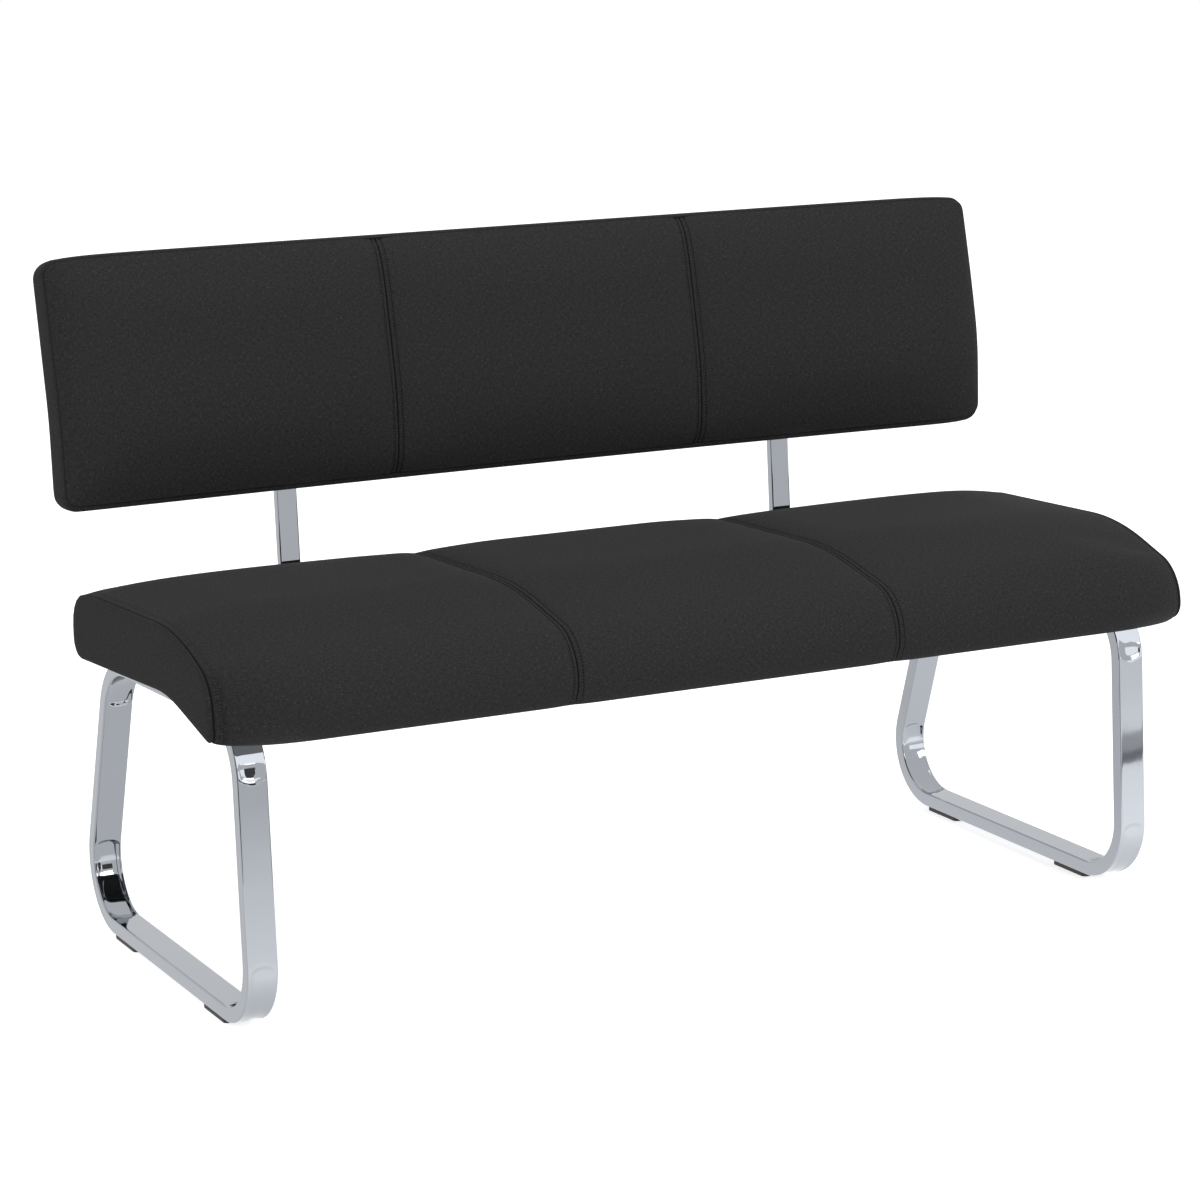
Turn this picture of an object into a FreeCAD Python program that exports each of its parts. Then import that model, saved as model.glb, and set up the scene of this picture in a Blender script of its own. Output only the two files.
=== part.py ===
# Dining bench with a padded seat and back on two bent tube leg loops
import FreeCAD, Part
import math
import os

os.makedirs("parts", exist_ok=True)
V = FreeCAD.Vector

# Leg loops
tube_width = 40.0
tube_depth = 20.0
tube_wall = 2.0
tube_edge_radius = 2.5
base_depth = 640.0
leg_spacing = 1292.0
lower_bend_radius = 90.0
upper_bend_radius = 100.0
front_lean_share = 0.049
rear_lean_share = 0.353
bend_recess_depth = 1.2
bend_recess_width_share = 0.72
bend_recess_turn_share = 0.8

# Floor glides
glide_length = 78.0
glide_height = 5.0
glide_side_inset = 1.0
glide_end_radius = 6.0
glide_bend_gap = 2.0
glide_peg_diameter = 8.0
glide_peg_height = 7.0
glide_peg_share = 0.28

# Seat cushion outline, shares are depth, height and corner radius, lip first
seat_length = 1404.0
seat_depth = 562.5
seat_overhang = 48.5
seat_lip_height = 375.0
seat_rise = 137.7
seat_middle_shares = [
    (0.0, 0.0, 0.28), (0.140, 0.044, 0.29), (0.255, 0.261, 0.44), (1.0, 0.152, 0.19),
    (1.0, 0.777, 0.22), (0.851, 0.933, 0.73), (0.330, 1.0, 3.92), (0.0, 0.695, 0.41),
]
seat_end_shares = [
    (0.090, 0.022, 0.087), (0.140, 0.044, 0.22), (0.255, 0.261, 0.44), (1.0, 0.152, 0.19),
    (0.996, 0.690, 0.18), (0.860, 0.824, 0.73), (0.291, 0.900, 1.09), (0.113, 0.570, 0.18),
]
seat_lift_shares = [0.0, 0.0, 0.0, 0.0, 0.6, 1.0, 1.0, 0.7]
seat_push_shares = [-0.6, 0.0, 0.0, 0.0, 0.3, 0.0, 0.0, -1.0]
seat_end_roll = 130.0
seat_end_dome = 5.0
seat_end_dome_inset = 12.0

# Back cushion outline, shares count from the rear lower corner, bottom front first
back_length = 1410.0
back_depth = 118.0
back_bottom_height = 590.0
back_height = 331.0
back_middle_shares = [
    (-0.441, 0.0, 0.042), (0.0, 0.012, 0.042), (0.055, 0.347, 0.60), (0.407, 0.946, 0.036),
    (-0.034, 1.0, 0.042), (-0.466, 0.634, 1.2), (-0.593, 0.227, 0.75),
]
back_end_shares = [
    (-0.398, 0.021, 0.030), (0.0, 0.027, 0.030), (0.055, 0.347, 0.60), (0.390, 0.928, 0.030),
    (0.034, 0.961, 0.030), (-0.280, 0.604, 0.9), (-0.373, 0.227, 0.75),
]
back_lift_shares = [0.0, 0.0, 0.0, 0.0, 0.4, 0.0, 0.0]
back_push_shares = [-0.2, 0.0, 0.0, 0.0, -0.3, -1.0, -1.0]
back_corner_shares = [1.0, 1.0, 0.0, -1.0, -1.0, 0.0, 0.0]
back_end_roll = 110.0
back_corner_drop = 12.0
back_corner_run = 30.0
back_end_dome = 2.5
back_seam_rise = 9.0
back_seam_drop = 6.0
back_seam_inset = 5.0

# Covers, seams and clearances
cover_thickness = 1.6
soft_clearance = 0.3
panel_crown = 3.0
seam_depth = 5.0
seam_half_width = 10.0
roll_step_shares = [0.0, 0.1, 0.25, 0.5, 0.75]
corner_step_shares = [0.27, 0.6, 1.0]
cut_margin = 60.0
least_radius = 0.5

# Boards, rails and dust cover inside the seat
board_thickness = 12.0
board_edge_gap = 22.0
board_rear_gap = 12.0
rail_width = 30.0
rail_height = 20.0
rail_wall = 1.5
front_rail_share = 0.42
rear_rail_share = 0.85
dust_cover_thickness = 1.2
dust_cover_margin = 45.0
hidden_edge_radius = 1.0

# Back supports
support_width = 30.0
support_thickness = 13.5
support_wall = 1.5
support_edge_radius = 2.5
support_spacing = 770.0
support_seat_gap = 5.5
support_bend_radius = 28.0
support_kink_radius = 160.0
support_arm_reach = 25.0
support_top_share = 0.78
support_slot_gap = 1.0
back_wadding = 4.0
back_board_low_share = 0.07
back_board_high_share = 0.88

# Fasteners
bolt_diameter = 8.0
bolt_head_diameter = 14.0
bolt_head_height = 4.5
bolt_overrun = 2.0
bolt_clearance = 1.0
washer_diameter = 18.0
washer_thickness = 1.6
nut_flats = 13.0
nut_height = 6.5
thread_gap = 0.2
screw_diameter = 6.0
screw_head_diameter = 11.0
screw_head_height = 3.3
screw_shares = [0.18, 0.62]
sleeve_diameter = 8.0
sleeve_length = 9.0
sleeve_flange_diameter = 18.0
sleeve_flange_thickness = 1.2
pocket_gap = 1.0

# Placing
seat_front = -base_depth / 2 - seat_overhang
seat_rear = seat_front + seat_depth
seat_half = seat_length / 2 - seat_end_dome
back_half = back_length / 2
seat_seam = seat_length / 6
back_seam = back_length / 6
foam_skin = cover_thickness + soft_clearance
rear_padding = foam_skin + back_wadding


def at(y, z):
    return V(0, y, z)


def moved(shape, x):
    result = shape.copy()
    result.translate(V(x, 0, 0))
    return result


def round_corner(before, corner, after, radius):
    to_before = (before - corner).normalize()
    to_after = (after - corner).normalize()
    angle = to_before.getAngle(to_after)
    bisector = (to_before + to_after).normalize()
    run = radius / math.tan(angle / 2)
    centre = corner + bisector * (radius / math.sin(angle / 2))
    return corner + to_before * run, centre - bisector * radius, corner + to_after * run, centre


def ring(points, radii, x):
    count = len(points)
    corners = []
    for i in range(count):
        corners.append(round_corner(points[i - 1], points[i], points[(i + 1) % count], radii[i]))
    edges = []
    for i in range(count):
        start, middle, end, centre = corners[i]
        edges.append(Part.Arc(start, middle, end).toShape())
        edges.append(Part.makeLine(end, corners[(i + 1) % count][0]))
    return moved(Part.Wire(edges), x)


def meet(p, along_p, q, along_q):
    bottom = along_p.y * along_q.z - along_p.z * along_q.y
    gap = q - p
    return p + along_p * ((gap.y * along_q.z - gap.z * along_q.y) / bottom)


def turn_of(first, second):
    return first.y * second.z - first.z * second.y


def inset(points, radii, amount):
    count = len(points)
    ways = [(points[(i + 1) % count] - points[i]).normalize() for i in range(count)]
    starts = [points[i] + at(-ways[i].z, ways[i].y) * amount for i in range(count)]
    new_points = []
    new_radii = []
    for i in range(count):
        new_points.append(meet(starts[i - 1], ways[i - 1], starts[i], ways[i]))
        side = 1 if turn_of(ways[i - 1], ways[i]) > 0 else -1
        new_radii.append(max(radii[i] - side * amount, least_radius))
    return new_points, new_radii


def prism(points, radii, low, high):
    return Part.Face(ring(points, radii, low)).extrude(V(high - low, 0, 0))


def bar(points, low, high):
    outline = [moved(Part.Vertex(p), low).Point for p in points + points[:1]]
    return Part.Face(Part.makePolygon(outline)).extrude(V(high - low, 0, 0))


def block(x0, x1, y0, y1, z0, z1):
    return Part.makeBox(x1 - x0, y1 - y0, z1 - z0, V(x0, y0, z0))


def rod(diameter, length, base, way):
    return Part.makeCylinder(diameter / 2, length, base, way)


def on_y(p, q, y):
    return p + (q - p) * ((y - p.y) / (q.y - p.y))


def on_z(p, q, z):
    return p + (q - p) * ((z - p.z) / (q.z - p.z))


def at_x(point, x):
    return V(x, point.y, point.z)


def soften_ends(solid, low, high, radius):
    edges = []
    for edge in solid.Edges:
        box = edge.BoundBox
        flat = box.XLength < least_radius
        if flat and min(abs(box.XMin - low), abs(box.XMin - high)) < least_radius:
            edges.append(edge)
    return solid.makeFillet(radius, edges)


pieces = {}


def save(shape, name):
    pieces[name] = shape


# Cushion sections, blended from the end outline to the middle outline
def blend(end_shares, middle_shares, place, share, unit):
    points = []
    radii = []
    for end, middle in zip(end_shares, middle_shares):
        mix = [a + (b - a) * share for a, b in zip(end, middle)]
        points.append(place(mix[0], mix[1]))
        radii.append(mix[2] * unit)
    return points, radii


def place_seat(depth_share, height_share):
    return at(seat_front + depth_share * seat_depth, seat_lip_height + height_share * seat_rise)


def seat_section(share, crown):
    points, radii = blend(seat_end_shares, seat_middle_shares, place_seat, share, seat_rise)
    shifts = zip(points, seat_push_shares, seat_lift_shares)
    return [p + at(push * crown, lift * crown) for p, push, lift in shifts], radii


def panel_steps(half, seam, roll):
    middle = (seam + half - roll) / 2
    wide = seam_half_width * 5
    return [
        (0, panel_crown), (seam - wide, panel_crown / 2), (seam - seam_half_width, 0),
        (seam, -seam_depth), (seam + seam_half_width, 0), (seam + wide, panel_crown / 2),
        (middle, panel_crown), (half - roll, panel_crown / 2),
    ]


def mirrored(steps):
    return [(-s[0],) + tuple(s[1:]) for s in reversed(steps[1:])] + steps


def seat_steps(skin):
    steps = [(x, 1, crown, 0) for x, crown in panel_steps(seat_half, seat_seam, seat_end_roll)]
    for step in reversed(roll_step_shares):
        shrink = skin if step == 0 else 0
        steps.append((seat_half - step * seat_end_roll - shrink, 1 - (1 - step) ** 2, 0, 0))
    steps.append((seat_half + seat_end_dome / 2 - skin, 0, 0, seat_end_dome_inset / 4))
    steps.append((seat_half + seat_end_dome - skin, 0, 0, seat_end_dome_inset))
    return mirrored(steps)


def seat_loft(steps, skin):
    rings = []
    for x, share, crown, extra in steps:
        points, radii = seat_section(share, crown)
        points, radii = inset(points, radii, skin + extra)
        rings.append(ring(points, radii, x))
    return Part.makeLoft(rings, True, True)


def at_step(step, x):
    return (x,) + tuple(step[1:])


seat_points, seat_radii = seat_section(1, 0)
LIP, LIP_REAR, HOLLOW, UNDER_REAR, TOP_REAR = range(5)
under_front = seat_points[HOLLOW]
under_rear = seat_points[UNDER_REAR]
slope = (under_rear - under_front).normalize()
upward = at(-slope.z, slope.y)

# Leg loops, closed rings of hollow tube under the seat
floor_front = at(-base_depth / 2, glide_height)
floor_rear = at(base_depth / 2, glide_height)
loop_points = [
    floor_front,
    floor_rear,
    meet(floor_rear, at(-rear_lean_share, 1), under_front, slope),
    meet(floor_front, at(front_lean_share, 1), under_front, slope),
]
loop_radii = [lower_bend_radius, lower_bend_radius, upper_bend_radius, upper_bend_radius]
front_rail_y = seat_front + front_rail_share * seat_depth
rear_rail_y = seat_front + rear_rail_share * seat_depth
rail_spots = [on_y(under_front, under_rear, y) for y in (front_rail_y, rear_rail_y)]
leg_sides = [-leg_spacing / 2, leg_spacing / 2]
support_sides = [-support_spacing / 2, support_spacing / 2]


def bend_recess(index):
    points, radii = inset(loop_points, loop_radii, tube_depth)
    before, corner, after = points[index - 1], points[index], points[(index + 1) % len(points)]
    start, middle, end, centre = round_corner(before, corner, after, radii[index])
    turn = (start - centre).getAngle(end - centre)
    radial = (middle - centre).normalize()
    width = tube_width * bend_recess_width_share / 2
    near = centre + radial * (radii[index] - bend_recess_depth)
    rim = centre + radial * radii[index]
    bottom = centre + radial * (radii[index] + bend_recess_depth)
    arc = Part.Arc(at_x(rim, -width), bottom, at_x(rim, width)).toShape()
    sides = Part.makePolygon([at_x(rim, width), at_x(near, width), at_x(near, -width), at_x(rim, -width)])
    face = Part.Face(Part.Wire([arc] + sides.Edges))
    sweep = math.degrees(turn) * bend_recess_turn_share
    face.rotate(centre, V(1, 0, 0), -sweep / 2)
    return face.revolve(centre, V(1, 0, 0), sweep)


def glide_spans():
    front = round_corner(loop_points[3], loop_points[0], loop_points[1], loop_radii[0])[2].y
    rear = round_corner(loop_points[0], loop_points[1], loop_points[2], loop_radii[1])[0].y
    first = front + glide_bend_gap
    last = rear - glide_bend_gap
    return {"front": (first, first + glide_length), "rear": (last - glide_length, last)}


def glide_pegs(span, x, diameter, height):
    pegs = []
    for share in (glide_peg_share, 1 - glide_peg_share):
        y = span[0] + (span[1] - span[0]) * share
        pegs.append(rod(diameter, height, V(x, y, glide_height), V(0, 0, 1)))
    return pegs


def leg_loop(x):
    low = -tube_width / 2
    high = tube_width / 2
    inner = inset(loop_points, loop_radii, tube_depth)
    body = prism(loop_points, loop_radii, low, high).cut(prism(*inner, low, high))
    body = soften_ends(body, low, high, tube_edge_radius)
    near = inset(loop_points, loop_radii, tube_wall)
    far = inset(loop_points, loop_radii, tube_depth - tube_wall)
    low_cavity = low + tube_wall
    high_cavity = high - tube_wall
    cavity = prism(*near, low_cavity, high_cavity).cut(prism(*far, low_cavity, high_cavity))
    cuts = [cavity] + [bend_recess(i) for i in range(len(loop_points))]
    for span in glide_spans().values():
        cuts += glide_pegs(span, 0, glide_peg_diameter, tube_wall + glide_peg_height)
    for spot in rail_spots:
        hole = rod(bolt_diameter + bolt_clearance, tube_depth * 2, spot - upward * tube_depth * 1.5, upward)
        cuts.append(hole)
    return moved(body.cut(cuts), x)


def glide(span, x):
    wide = tube_width / 2 - glide_side_inset
    body = block(x - wide, x + wide, span[0], span[1], 0, glide_height)
    upright = [e for e in body.Edges if e.BoundBox.ZLength > least_radius]
    body = body.makeFillet(glide_end_radius, upright)
    pegs = glide_pegs(span, x, glide_peg_diameter - soft_clearance, glide_peg_height)
    return body.fuse(pegs).removeSplitter()


# Seat rails on top of the board, the steel that ties legs and supports together
def rail_outline(y, grow):
    points, radii = inset(seat_points, seat_radii, foam_skin + board_thickness)
    middle = on_y(points[HOLLOW], points[UNDER_REAR], y)
    half = slope * (rail_width / 2)
    rise = upward * rail_height
    corners = [middle - half, middle + half, middle + half + rise, middle - half + rise]
    return inset(corners, [hidden_edge_radius * 2] * 4, grow)


def bolt_holes(diameter, sides):
    length = board_thickness * 3
    holes = []
    for x in sides:
        for spot in rail_spots:
            holes.append(rod(diameter, length, at_x(spot - upward * board_thickness, x), upward))
    return holes


def seat_rail(y):
    end = leg_spacing / 2 + tube_width / 2
    body = prism(*rail_outline(y, 0), -end, end).cut(prism(*rail_outline(y, rail_wall), -end, end))
    holes = [rod(bolt_diameter + bolt_clearance, rail_wall * 3 + board_thickness, h, upward)
             for h in rail_hole_bases(y)]
    return body.cut(holes)


def rail_hole_bases(y):
    spot = on_y(under_front, under_rear, y)
    return [at_x(spot + upward * foam_skin, x) for x in leg_sides + support_sides]


# Seat board, one moulded panel that turns down inside the front lip
def seat_board():
    low, low_radii = inset(seat_points, seat_radii, foam_skin)
    high, high_radii = inset(seat_points, seat_radii, foam_skin + board_thickness)
    rear = seat_rear - board_rear_gap - foam_skin
    points = [low[LIP_REAR], low[HOLLOW], on_y(low[HOLLOW], low[UNDER_REAR], rear),
              on_y(high[HOLLOW], high[UNDER_REAR], rear), high[HOLLOW], high[LIP_REAR]]
    ends = hidden_edge_radius
    radii = [ends, low_radii[HOLLOW], ends, ends, high_radii[HOLLOW], ends]
    reach = seat_half - board_edge_gap
    return points, radii, reach


board_points, board_radii, board_reach = seat_board()
board_solid = prism(board_points, board_radii, -board_reach, board_reach)
seat_foam = seat_loft(seat_steps(foam_skin), foam_skin)
board_room = inset(board_points, board_radii, -soft_clearance)
seat_foam = seat_foam.cut(prism(*board_room, -board_reach - soft_clearance, board_reach + soft_clearance))
for rail_y in (front_rail_y, rear_rail_y):
    rail_end = leg_spacing / 2 + tube_width / 2 + soft_clearance
    seat_foam = seat_foam.cut(prism(*rail_outline(rail_y, -soft_clearance), -rail_end, rail_end))
    seat_foam = seat_foam.cut(prism(*rail_outline(rail_y, rail_wall), -rail_end, rail_end))
hole_size = bolt_diameter + bolt_clearance
board_solid = board_solid.cut(bolt_holes(hole_size, leg_sides + support_sides))

# Seat covers, three panels and two end pieces with the underside left open
under_start = under_front.y + dust_cover_margin
under_end = under_rear.y - dust_cover_margin
under_reach = seat_half - dust_cover_margin * 2
deep = seat_lip_height - cut_margin
opening = block(-under_reach, under_reach, under_start, under_end, deep, under_front.z + foam_skin)
gap = soft_clearance / 2


def seat_cover(low, high):
    steps = [s for s in seat_steps(0) if low - gap < s[0] < high + gap]
    steps[0] = at_step(steps[0], low + gap)
    steps[-1] = at_step(steps[-1], high - gap)
    hollow = [at_step(steps[0], low - gap)] + steps + [at_step(steps[-1], high + gap)]
    holes = bolt_holes(hole_size + bolt_clearance, leg_sides)
    return seat_loft(steps, 0).cut(seat_loft(hollow, cover_thickness)).cut([opening] + holes)


def seat_boxing():
    outer = seat_steps(0)[-3:]
    outer[0] = at_step(outer[0], seat_half + gap)
    inner = seat_steps(cover_thickness)[-3:]
    inner[0] = at_step(inner[0], seat_half - gap)
    return seat_loft(outer, 0).cut(seat_loft(inner, cover_thickness))


save(seat_cover(-seat_half, -seat_seam), "seat_cover_left")
save(seat_cover(-seat_seam, seat_seam), "seat_cover_centre")
save(seat_cover(seat_seam, seat_half), "seat_cover_right")
save(seat_boxing(), "seat_boxing_right")
save(seat_boxing().mirror(V(0, 0, 0), V(1, 0, 0)), "seat_boxing_left")

dust_low = inset(seat_points, seat_radii, cover_thickness - dust_cover_thickness)[0]
dust_high = inset(seat_points, seat_radii, cover_thickness)[0]
dust_points = []
for line, y in ((dust_low, under_start + gap), (dust_low, under_end - gap),
                (dust_high, under_end - gap), (dust_high, under_start + gap)):
    dust_points.append(on_y(line[HOLLOW], line[UNDER_REAR], y))
dust_cover = bar(dust_points, -under_reach + gap, under_reach - gap)
dust_cover = dust_cover.cut(bolt_holes(hole_size + bolt_clearance, leg_sides + support_sides))
save(dust_cover, "seat_dust_cover")
save(seat_foam, "seat_foam")
save(board_solid, "seat_board")
save(seat_rail(front_rail_y), "front_seat_rail")
save(seat_rail(rear_rail_y), "rear_seat_rail")
save(leg_loop(leg_sides[0]), "left_leg_loop")
save(leg_loop(leg_sides[1]), "right_leg_loop")
for side, x in zip(("left", "right"), leg_sides):
    for end, span in glide_spans().items():
        save(glide(span, x), end + "_" + side + "_glide")

# Back cushion, set behind the seat so its supports clear the seat
rear_run = (back_middle_shares[2][0] - back_middle_shares[1][0]) * back_depth
rear_climb = (back_middle_shares[2][1] - back_middle_shares[1][1]) * back_height
lean = rear_run / rear_climb
support_stack = support_thickness + board_thickness + rear_padding
back_low = back_bottom_height + back_middle_shares[1][1] * back_height
support_front = seat_rear + support_seat_gap + lean * (back_low - under_rear.z)
back_reference = support_front + support_stack * math.hypot(1, lean)


def place_back(depth_share, height_share):
    return at(back_reference + depth_share * back_depth, back_bottom_height + height_share * back_height)


def back_section(share, crown, corner):
    points, radii = blend(back_end_shares, back_middle_shares, place_back, share, back_height)
    result = []
    for p, push, lift, drop in zip(points, back_push_shares, back_lift_shares, back_corner_shares):
        result.append(p + at(push * crown, lift * crown + drop * corner * back_corner_drop))
    return result, radii


def back_steps():
    steps = [(x, 1, crown, 0, 0) for x, crown in panel_steps(back_half, back_seam, back_end_roll)]
    runs = [s * back_end_roll for s in roll_step_shares if s * back_end_roll > back_corner_run]
    runs += [s * back_corner_run for s in corner_step_shares]
    for run in sorted(runs + [back_end_dome], reverse=True):
        share = 1 - (1 - run / back_end_roll) ** 2
        corner = max(0, 1 - run / back_corner_run) ** 2
        steps.append((back_half - run, share, 0, corner, 0))
    steps.append((back_half, 0, 0, 1, back_end_dome))
    return mirrored(steps)


def back_solid(skin):
    rings = []
    for x, share, crown, corner, extra in back_steps():
        points, radii = back_section(share, crown, corner)
        points, radii = inset(points, radii, skin + extra)
        shrink = skin if abs(x) > back_half - back_end_dome * 2 else 0
        rings.append(ring(points, radii, x - math.copysign(shrink, x)))
    return Part.makeLoft(rings, True, True)


back_points, back_radii = back_section(1, 0, 0)
LOW_FRONT, LOW_REAR, KINK, HIGH_REAR, HIGH_FRONT = range(5)


def back_zone(front, grow):
    corners = []
    for x, share, crown, corner, extra in back_steps():
        points, radii = back_section(share, crown, corner)
        edge = LOW_FRONT if front else LOW_REAR
        top = HIGH_FRONT if front else HIGH_REAR
        low = points[edge].z + back_seam_rise - grow
        high = points[top].z - back_seam_drop + grow
        far = -cut_margin * 3 if front else cut_margin * 3
        low_middle = (points[LOW_FRONT].y + points[LOW_REAR].y) / 2
        high_middle = (points[HIGH_FRONT].y + points[HIGH_REAR].y) / 2
        high_inner = points[HIGH_FRONT].y + back_seam_drop if front else high_middle
        outline = [at(low_middle, low), at(low_middle + far, low), at(high_middle + far, high),
                   at(high_inner, high)]
        corners.append((x, outline))
    rings = []
    for x, outline in corners:
        rings.append(moved(Part.makePolygon(outline + outline[:1]), x))
    zone = Part.makeLoft(rings, True, True)
    reach = back_half - back_seam_inset + grow
    tall = back_height * 2
    middle = back_bottom_height
    return zone.common(block(-reach, reach, -back_length, back_length, middle - tall, middle + tall))


back_shell = back_solid(0).cut(back_solid(cover_thickness))
front_panel = back_shell.common(back_zone(True, 0))
rear_panel = back_shell.common(back_zone(False, 0))
boxing = back_shell.cut(back_zone(True, soft_clearance)).cut(back_zone(False, soft_clearance))


def back_slab(low, high):
    tall = back_height * 2
    base = back_bottom_height
    return front_panel.common(block(low, high, -back_length, back_length, base - tall, base + tall))


save(back_slab(-back_length, -back_seam - gap), "back_cover_left")
save(back_slab(-back_seam + gap, back_seam - gap), "back_cover_centre")
save(back_slab(back_seam + gap, back_length), "back_cover_right")
save(rear_panel, "back_cover_rear")

# Back supports, flat tubes from under the seat up into the back cushion
inner, inner_radii = inset(back_points, back_radii, support_stack)
heel = meet(inner[LOW_REAR], inner[KINK] - inner[LOW_REAR], under_front, slope)
support_top = back_bottom_height + support_top_share * back_height
toe = on_y(under_front, under_rear, front_rail_y - support_arm_reach)
path = [toe, heel, inner[KINK], on_z(inner[KINK], inner[HIGH_REAR], support_top)]


def support_outline():
    ways = [(path[i + 1] - path[i]).normalize() for i in range(3)]
    sides = [at(w.z, -w.y) * support_thickness for w in ways]
    outer = [path[0] + sides[0], meet(path[0] + sides[0], ways[0], path[1] + sides[1], ways[1]),
             meet(path[1] + sides[1], ways[1], path[2] + sides[2], ways[2]), path[3] + sides[2]]
    points = outer + list(reversed(path))
    ends = hidden_edge_radius
    radii = [ends, support_bend_radius + support_thickness, support_kink_radius, ends,
             ends, support_kink_radius + support_thickness, support_bend_radius, ends]
    return points, radii


support_points, support_radii = support_outline()
screw_ways = []
for share in screw_shares:
    height = back_bottom_height + share * back_height
    low_run = height < path[2].z
    first, second = (path[1], path[2]) if low_run else (path[2], path[3])
    way = (second - first).normalize()
    screw_ways.append((on_z(first, second, height), at(way.z, -way.y)))


def screw_rods(diameter, before, after, sides):
    rods = []
    for x in sides:
        for spot, way in screw_ways:
            rods.append(rod(diameter, before + after, at_x(spot - way * before, x), way))
    return rods


def back_support(x):
    low = -support_width / 2
    high = support_width / 2
    body = soften_ends(prism(support_points, support_radii, low, high), low, high, support_edge_radius)
    cavity = prism(*inset(support_points, support_radii, support_wall), low + support_wall,
                   high - support_wall)
    holes = [rod(hole_size, support_thickness * 3, spot - upward * support_thickness * 2, upward)
             for spot in rail_spots]
    holes += screw_rods(screw_diameter + bolt_clearance, support_thickness, support_thickness * 2, [0])
    return moved(body.cut([cavity] + holes), x)


def support_room(grow):
    reach = support_width / 2 + grow
    outline = inset(support_points, support_radii, -grow)
    return [prism(*outline, x - reach, x + reach) for x in support_sides]


save(back_support(support_sides[0]), "left_back_support")
save(back_support(support_sides[1]), "right_back_support")
save(boxing.cut(support_room(support_slot_gap)), "back_boxing")

# Back board behind the supports, then the foam around both
rear_line, rear_radii = inset(back_points, back_radii, rear_padding)
front_line, front_radii = inset(back_points, back_radii, rear_padding + board_thickness)
low_z = back_bottom_height + back_board_low_share * back_height
high_z = back_bottom_height + back_board_high_share * back_height
plate_points = [
    on_z(front_line[LOW_REAR], front_line[KINK], low_z), on_z(rear_line[LOW_REAR], rear_line[KINK], low_z),
    rear_line[KINK], on_z(rear_line[KINK], rear_line[HIGH_REAR], high_z),
    on_z(front_line[KINK], front_line[HIGH_REAR], high_z), front_line[KINK],
]
ends = hidden_edge_radius
plate_radii = [ends, ends, rear_radii[KINK], ends, ends, front_radii[KINK]]
plate_reach = back_half - board_edge_gap
back_board = prism(plate_points, plate_radii, -plate_reach, plate_reach)
back_board = back_board.cut(screw_rods(sleeve_diameter + thread_gap, 0, support_stack, support_sides))
save(back_board, "back_board")

plate_room = inset(plate_points, plate_radii, -soft_clearance)
back_foam = back_solid(foam_skin)
back_foam = back_foam.cut(prism(*plate_room, -plate_reach - soft_clearance, plate_reach + soft_clearance))
back_foam = back_foam.cut(support_room(soft_clearance))
head_room = screw_head_diameter + pocket_gap * 2
back_foam = back_foam.cut(screw_rods(head_room, screw_head_height + pocket_gap, 0, support_sides))
board_rear = support_thickness + board_thickness
flange_room = sleeve_flange_diameter + pocket_gap * 2
for x in support_sides:
    for spot, way in screw_ways:
        base = at_x(spot + way * board_rear, x)
        back_foam = back_foam.cut(rod(flange_room, sleeve_flange_thickness + pocket_gap, base, way))
save(back_foam, "back_foam")


# Bolts, washers, nuts, screws and sleeves, each kind one group of separate solids
def group(shapes, name):
    save(Part.makeCompound(shapes), name)


def seat_bolts(sides, stack):
    bolts = []
    for x in sides:
        for spot in rail_spots:
            seat = at_x(spot - upward * (stack + washer_thickness), x)
            reach = stack + washer_thickness + foam_skin + board_thickness + rail_wall + nut_height
            shank = rod(bolt_diameter, reach + bolt_overrun, seat, upward)
            head = rod(bolt_head_diameter, bolt_head_height, seat - upward * bolt_head_height, upward)
            bolts.append(head.fuse(shank).removeSplitter())
    return bolts


def washers(sides, stack):
    result = []
    for x in sides:
        for spot in rail_spots:
            seat = at_x(spot - upward * (stack + washer_thickness), x)
            disc = rod(washer_diameter, washer_thickness, seat, upward)
            result.append(disc.cut(rod(bolt_diameter + thread_gap * 2, washer_thickness, seat, upward)))
    return result


def rail_nuts():
    radius = nut_flats / math.sqrt(3)
    turns = [math.pi * i / 3 for i in range(7)]
    outline = [V(radius * math.cos(t), radius * math.sin(t), 0) for t in turns]
    nut = Part.Face(Part.makePolygon(outline)).extrude(V(0, 0, nut_height))
    nut = nut.cut(rod(bolt_diameter + thread_gap, nut_height, V(0, 0, 0), V(0, 0, 1)))
    lift = foam_skin + board_thickness + rail_wall
    nuts = []
    for x in leg_sides + support_sides:
        for spot in rail_spots:
            placed = nut.copy()
            turn = FreeCAD.Rotation(V(0, 0, 1), upward)
            placed.Placement = FreeCAD.Placement(at_x(spot + upward * lift, x), turn)
            nuts.append(placed)
    return nuts


def back_screws():
    screws = []
    for x in support_sides:
        for spot, way in screw_ways:
            seat = at_x(spot, x)
            head = rod(screw_head_diameter, screw_head_height, seat - way * screw_head_height, way)
            screws.append(head.fuse(rod(screw_diameter, board_rear, seat, way)).removeSplitter())
    return screws


def back_sleeves():
    sleeves = []
    for x in support_sides:
        for spot, way in screw_ways:
            face = at_x(spot + way * board_rear, x)
            flange = rod(sleeve_flange_diameter, sleeve_flange_thickness, face, way)
            barrel = rod(sleeve_diameter, sleeve_length, face - way * sleeve_length, way)
            length = sleeve_length + sleeve_flange_thickness
            bore = rod(screw_diameter + thread_gap, length, face - way * sleeve_length, way)
            sleeves.append(flange.fuse(barrel).removeSplitter().cut(bore))
    return sleeves


group(seat_bolts(leg_sides, tube_depth), "leg_bolts")
group(seat_bolts(support_sides, support_thickness), "support_bolts")
group(washers(leg_sides, tube_depth) + washers(support_sides, support_thickness), "washers")
group(rail_nuts(), "rail_nuts")
group(back_screws(), "back_screws")
group(back_sleeves(), "back_sleeves")

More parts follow.
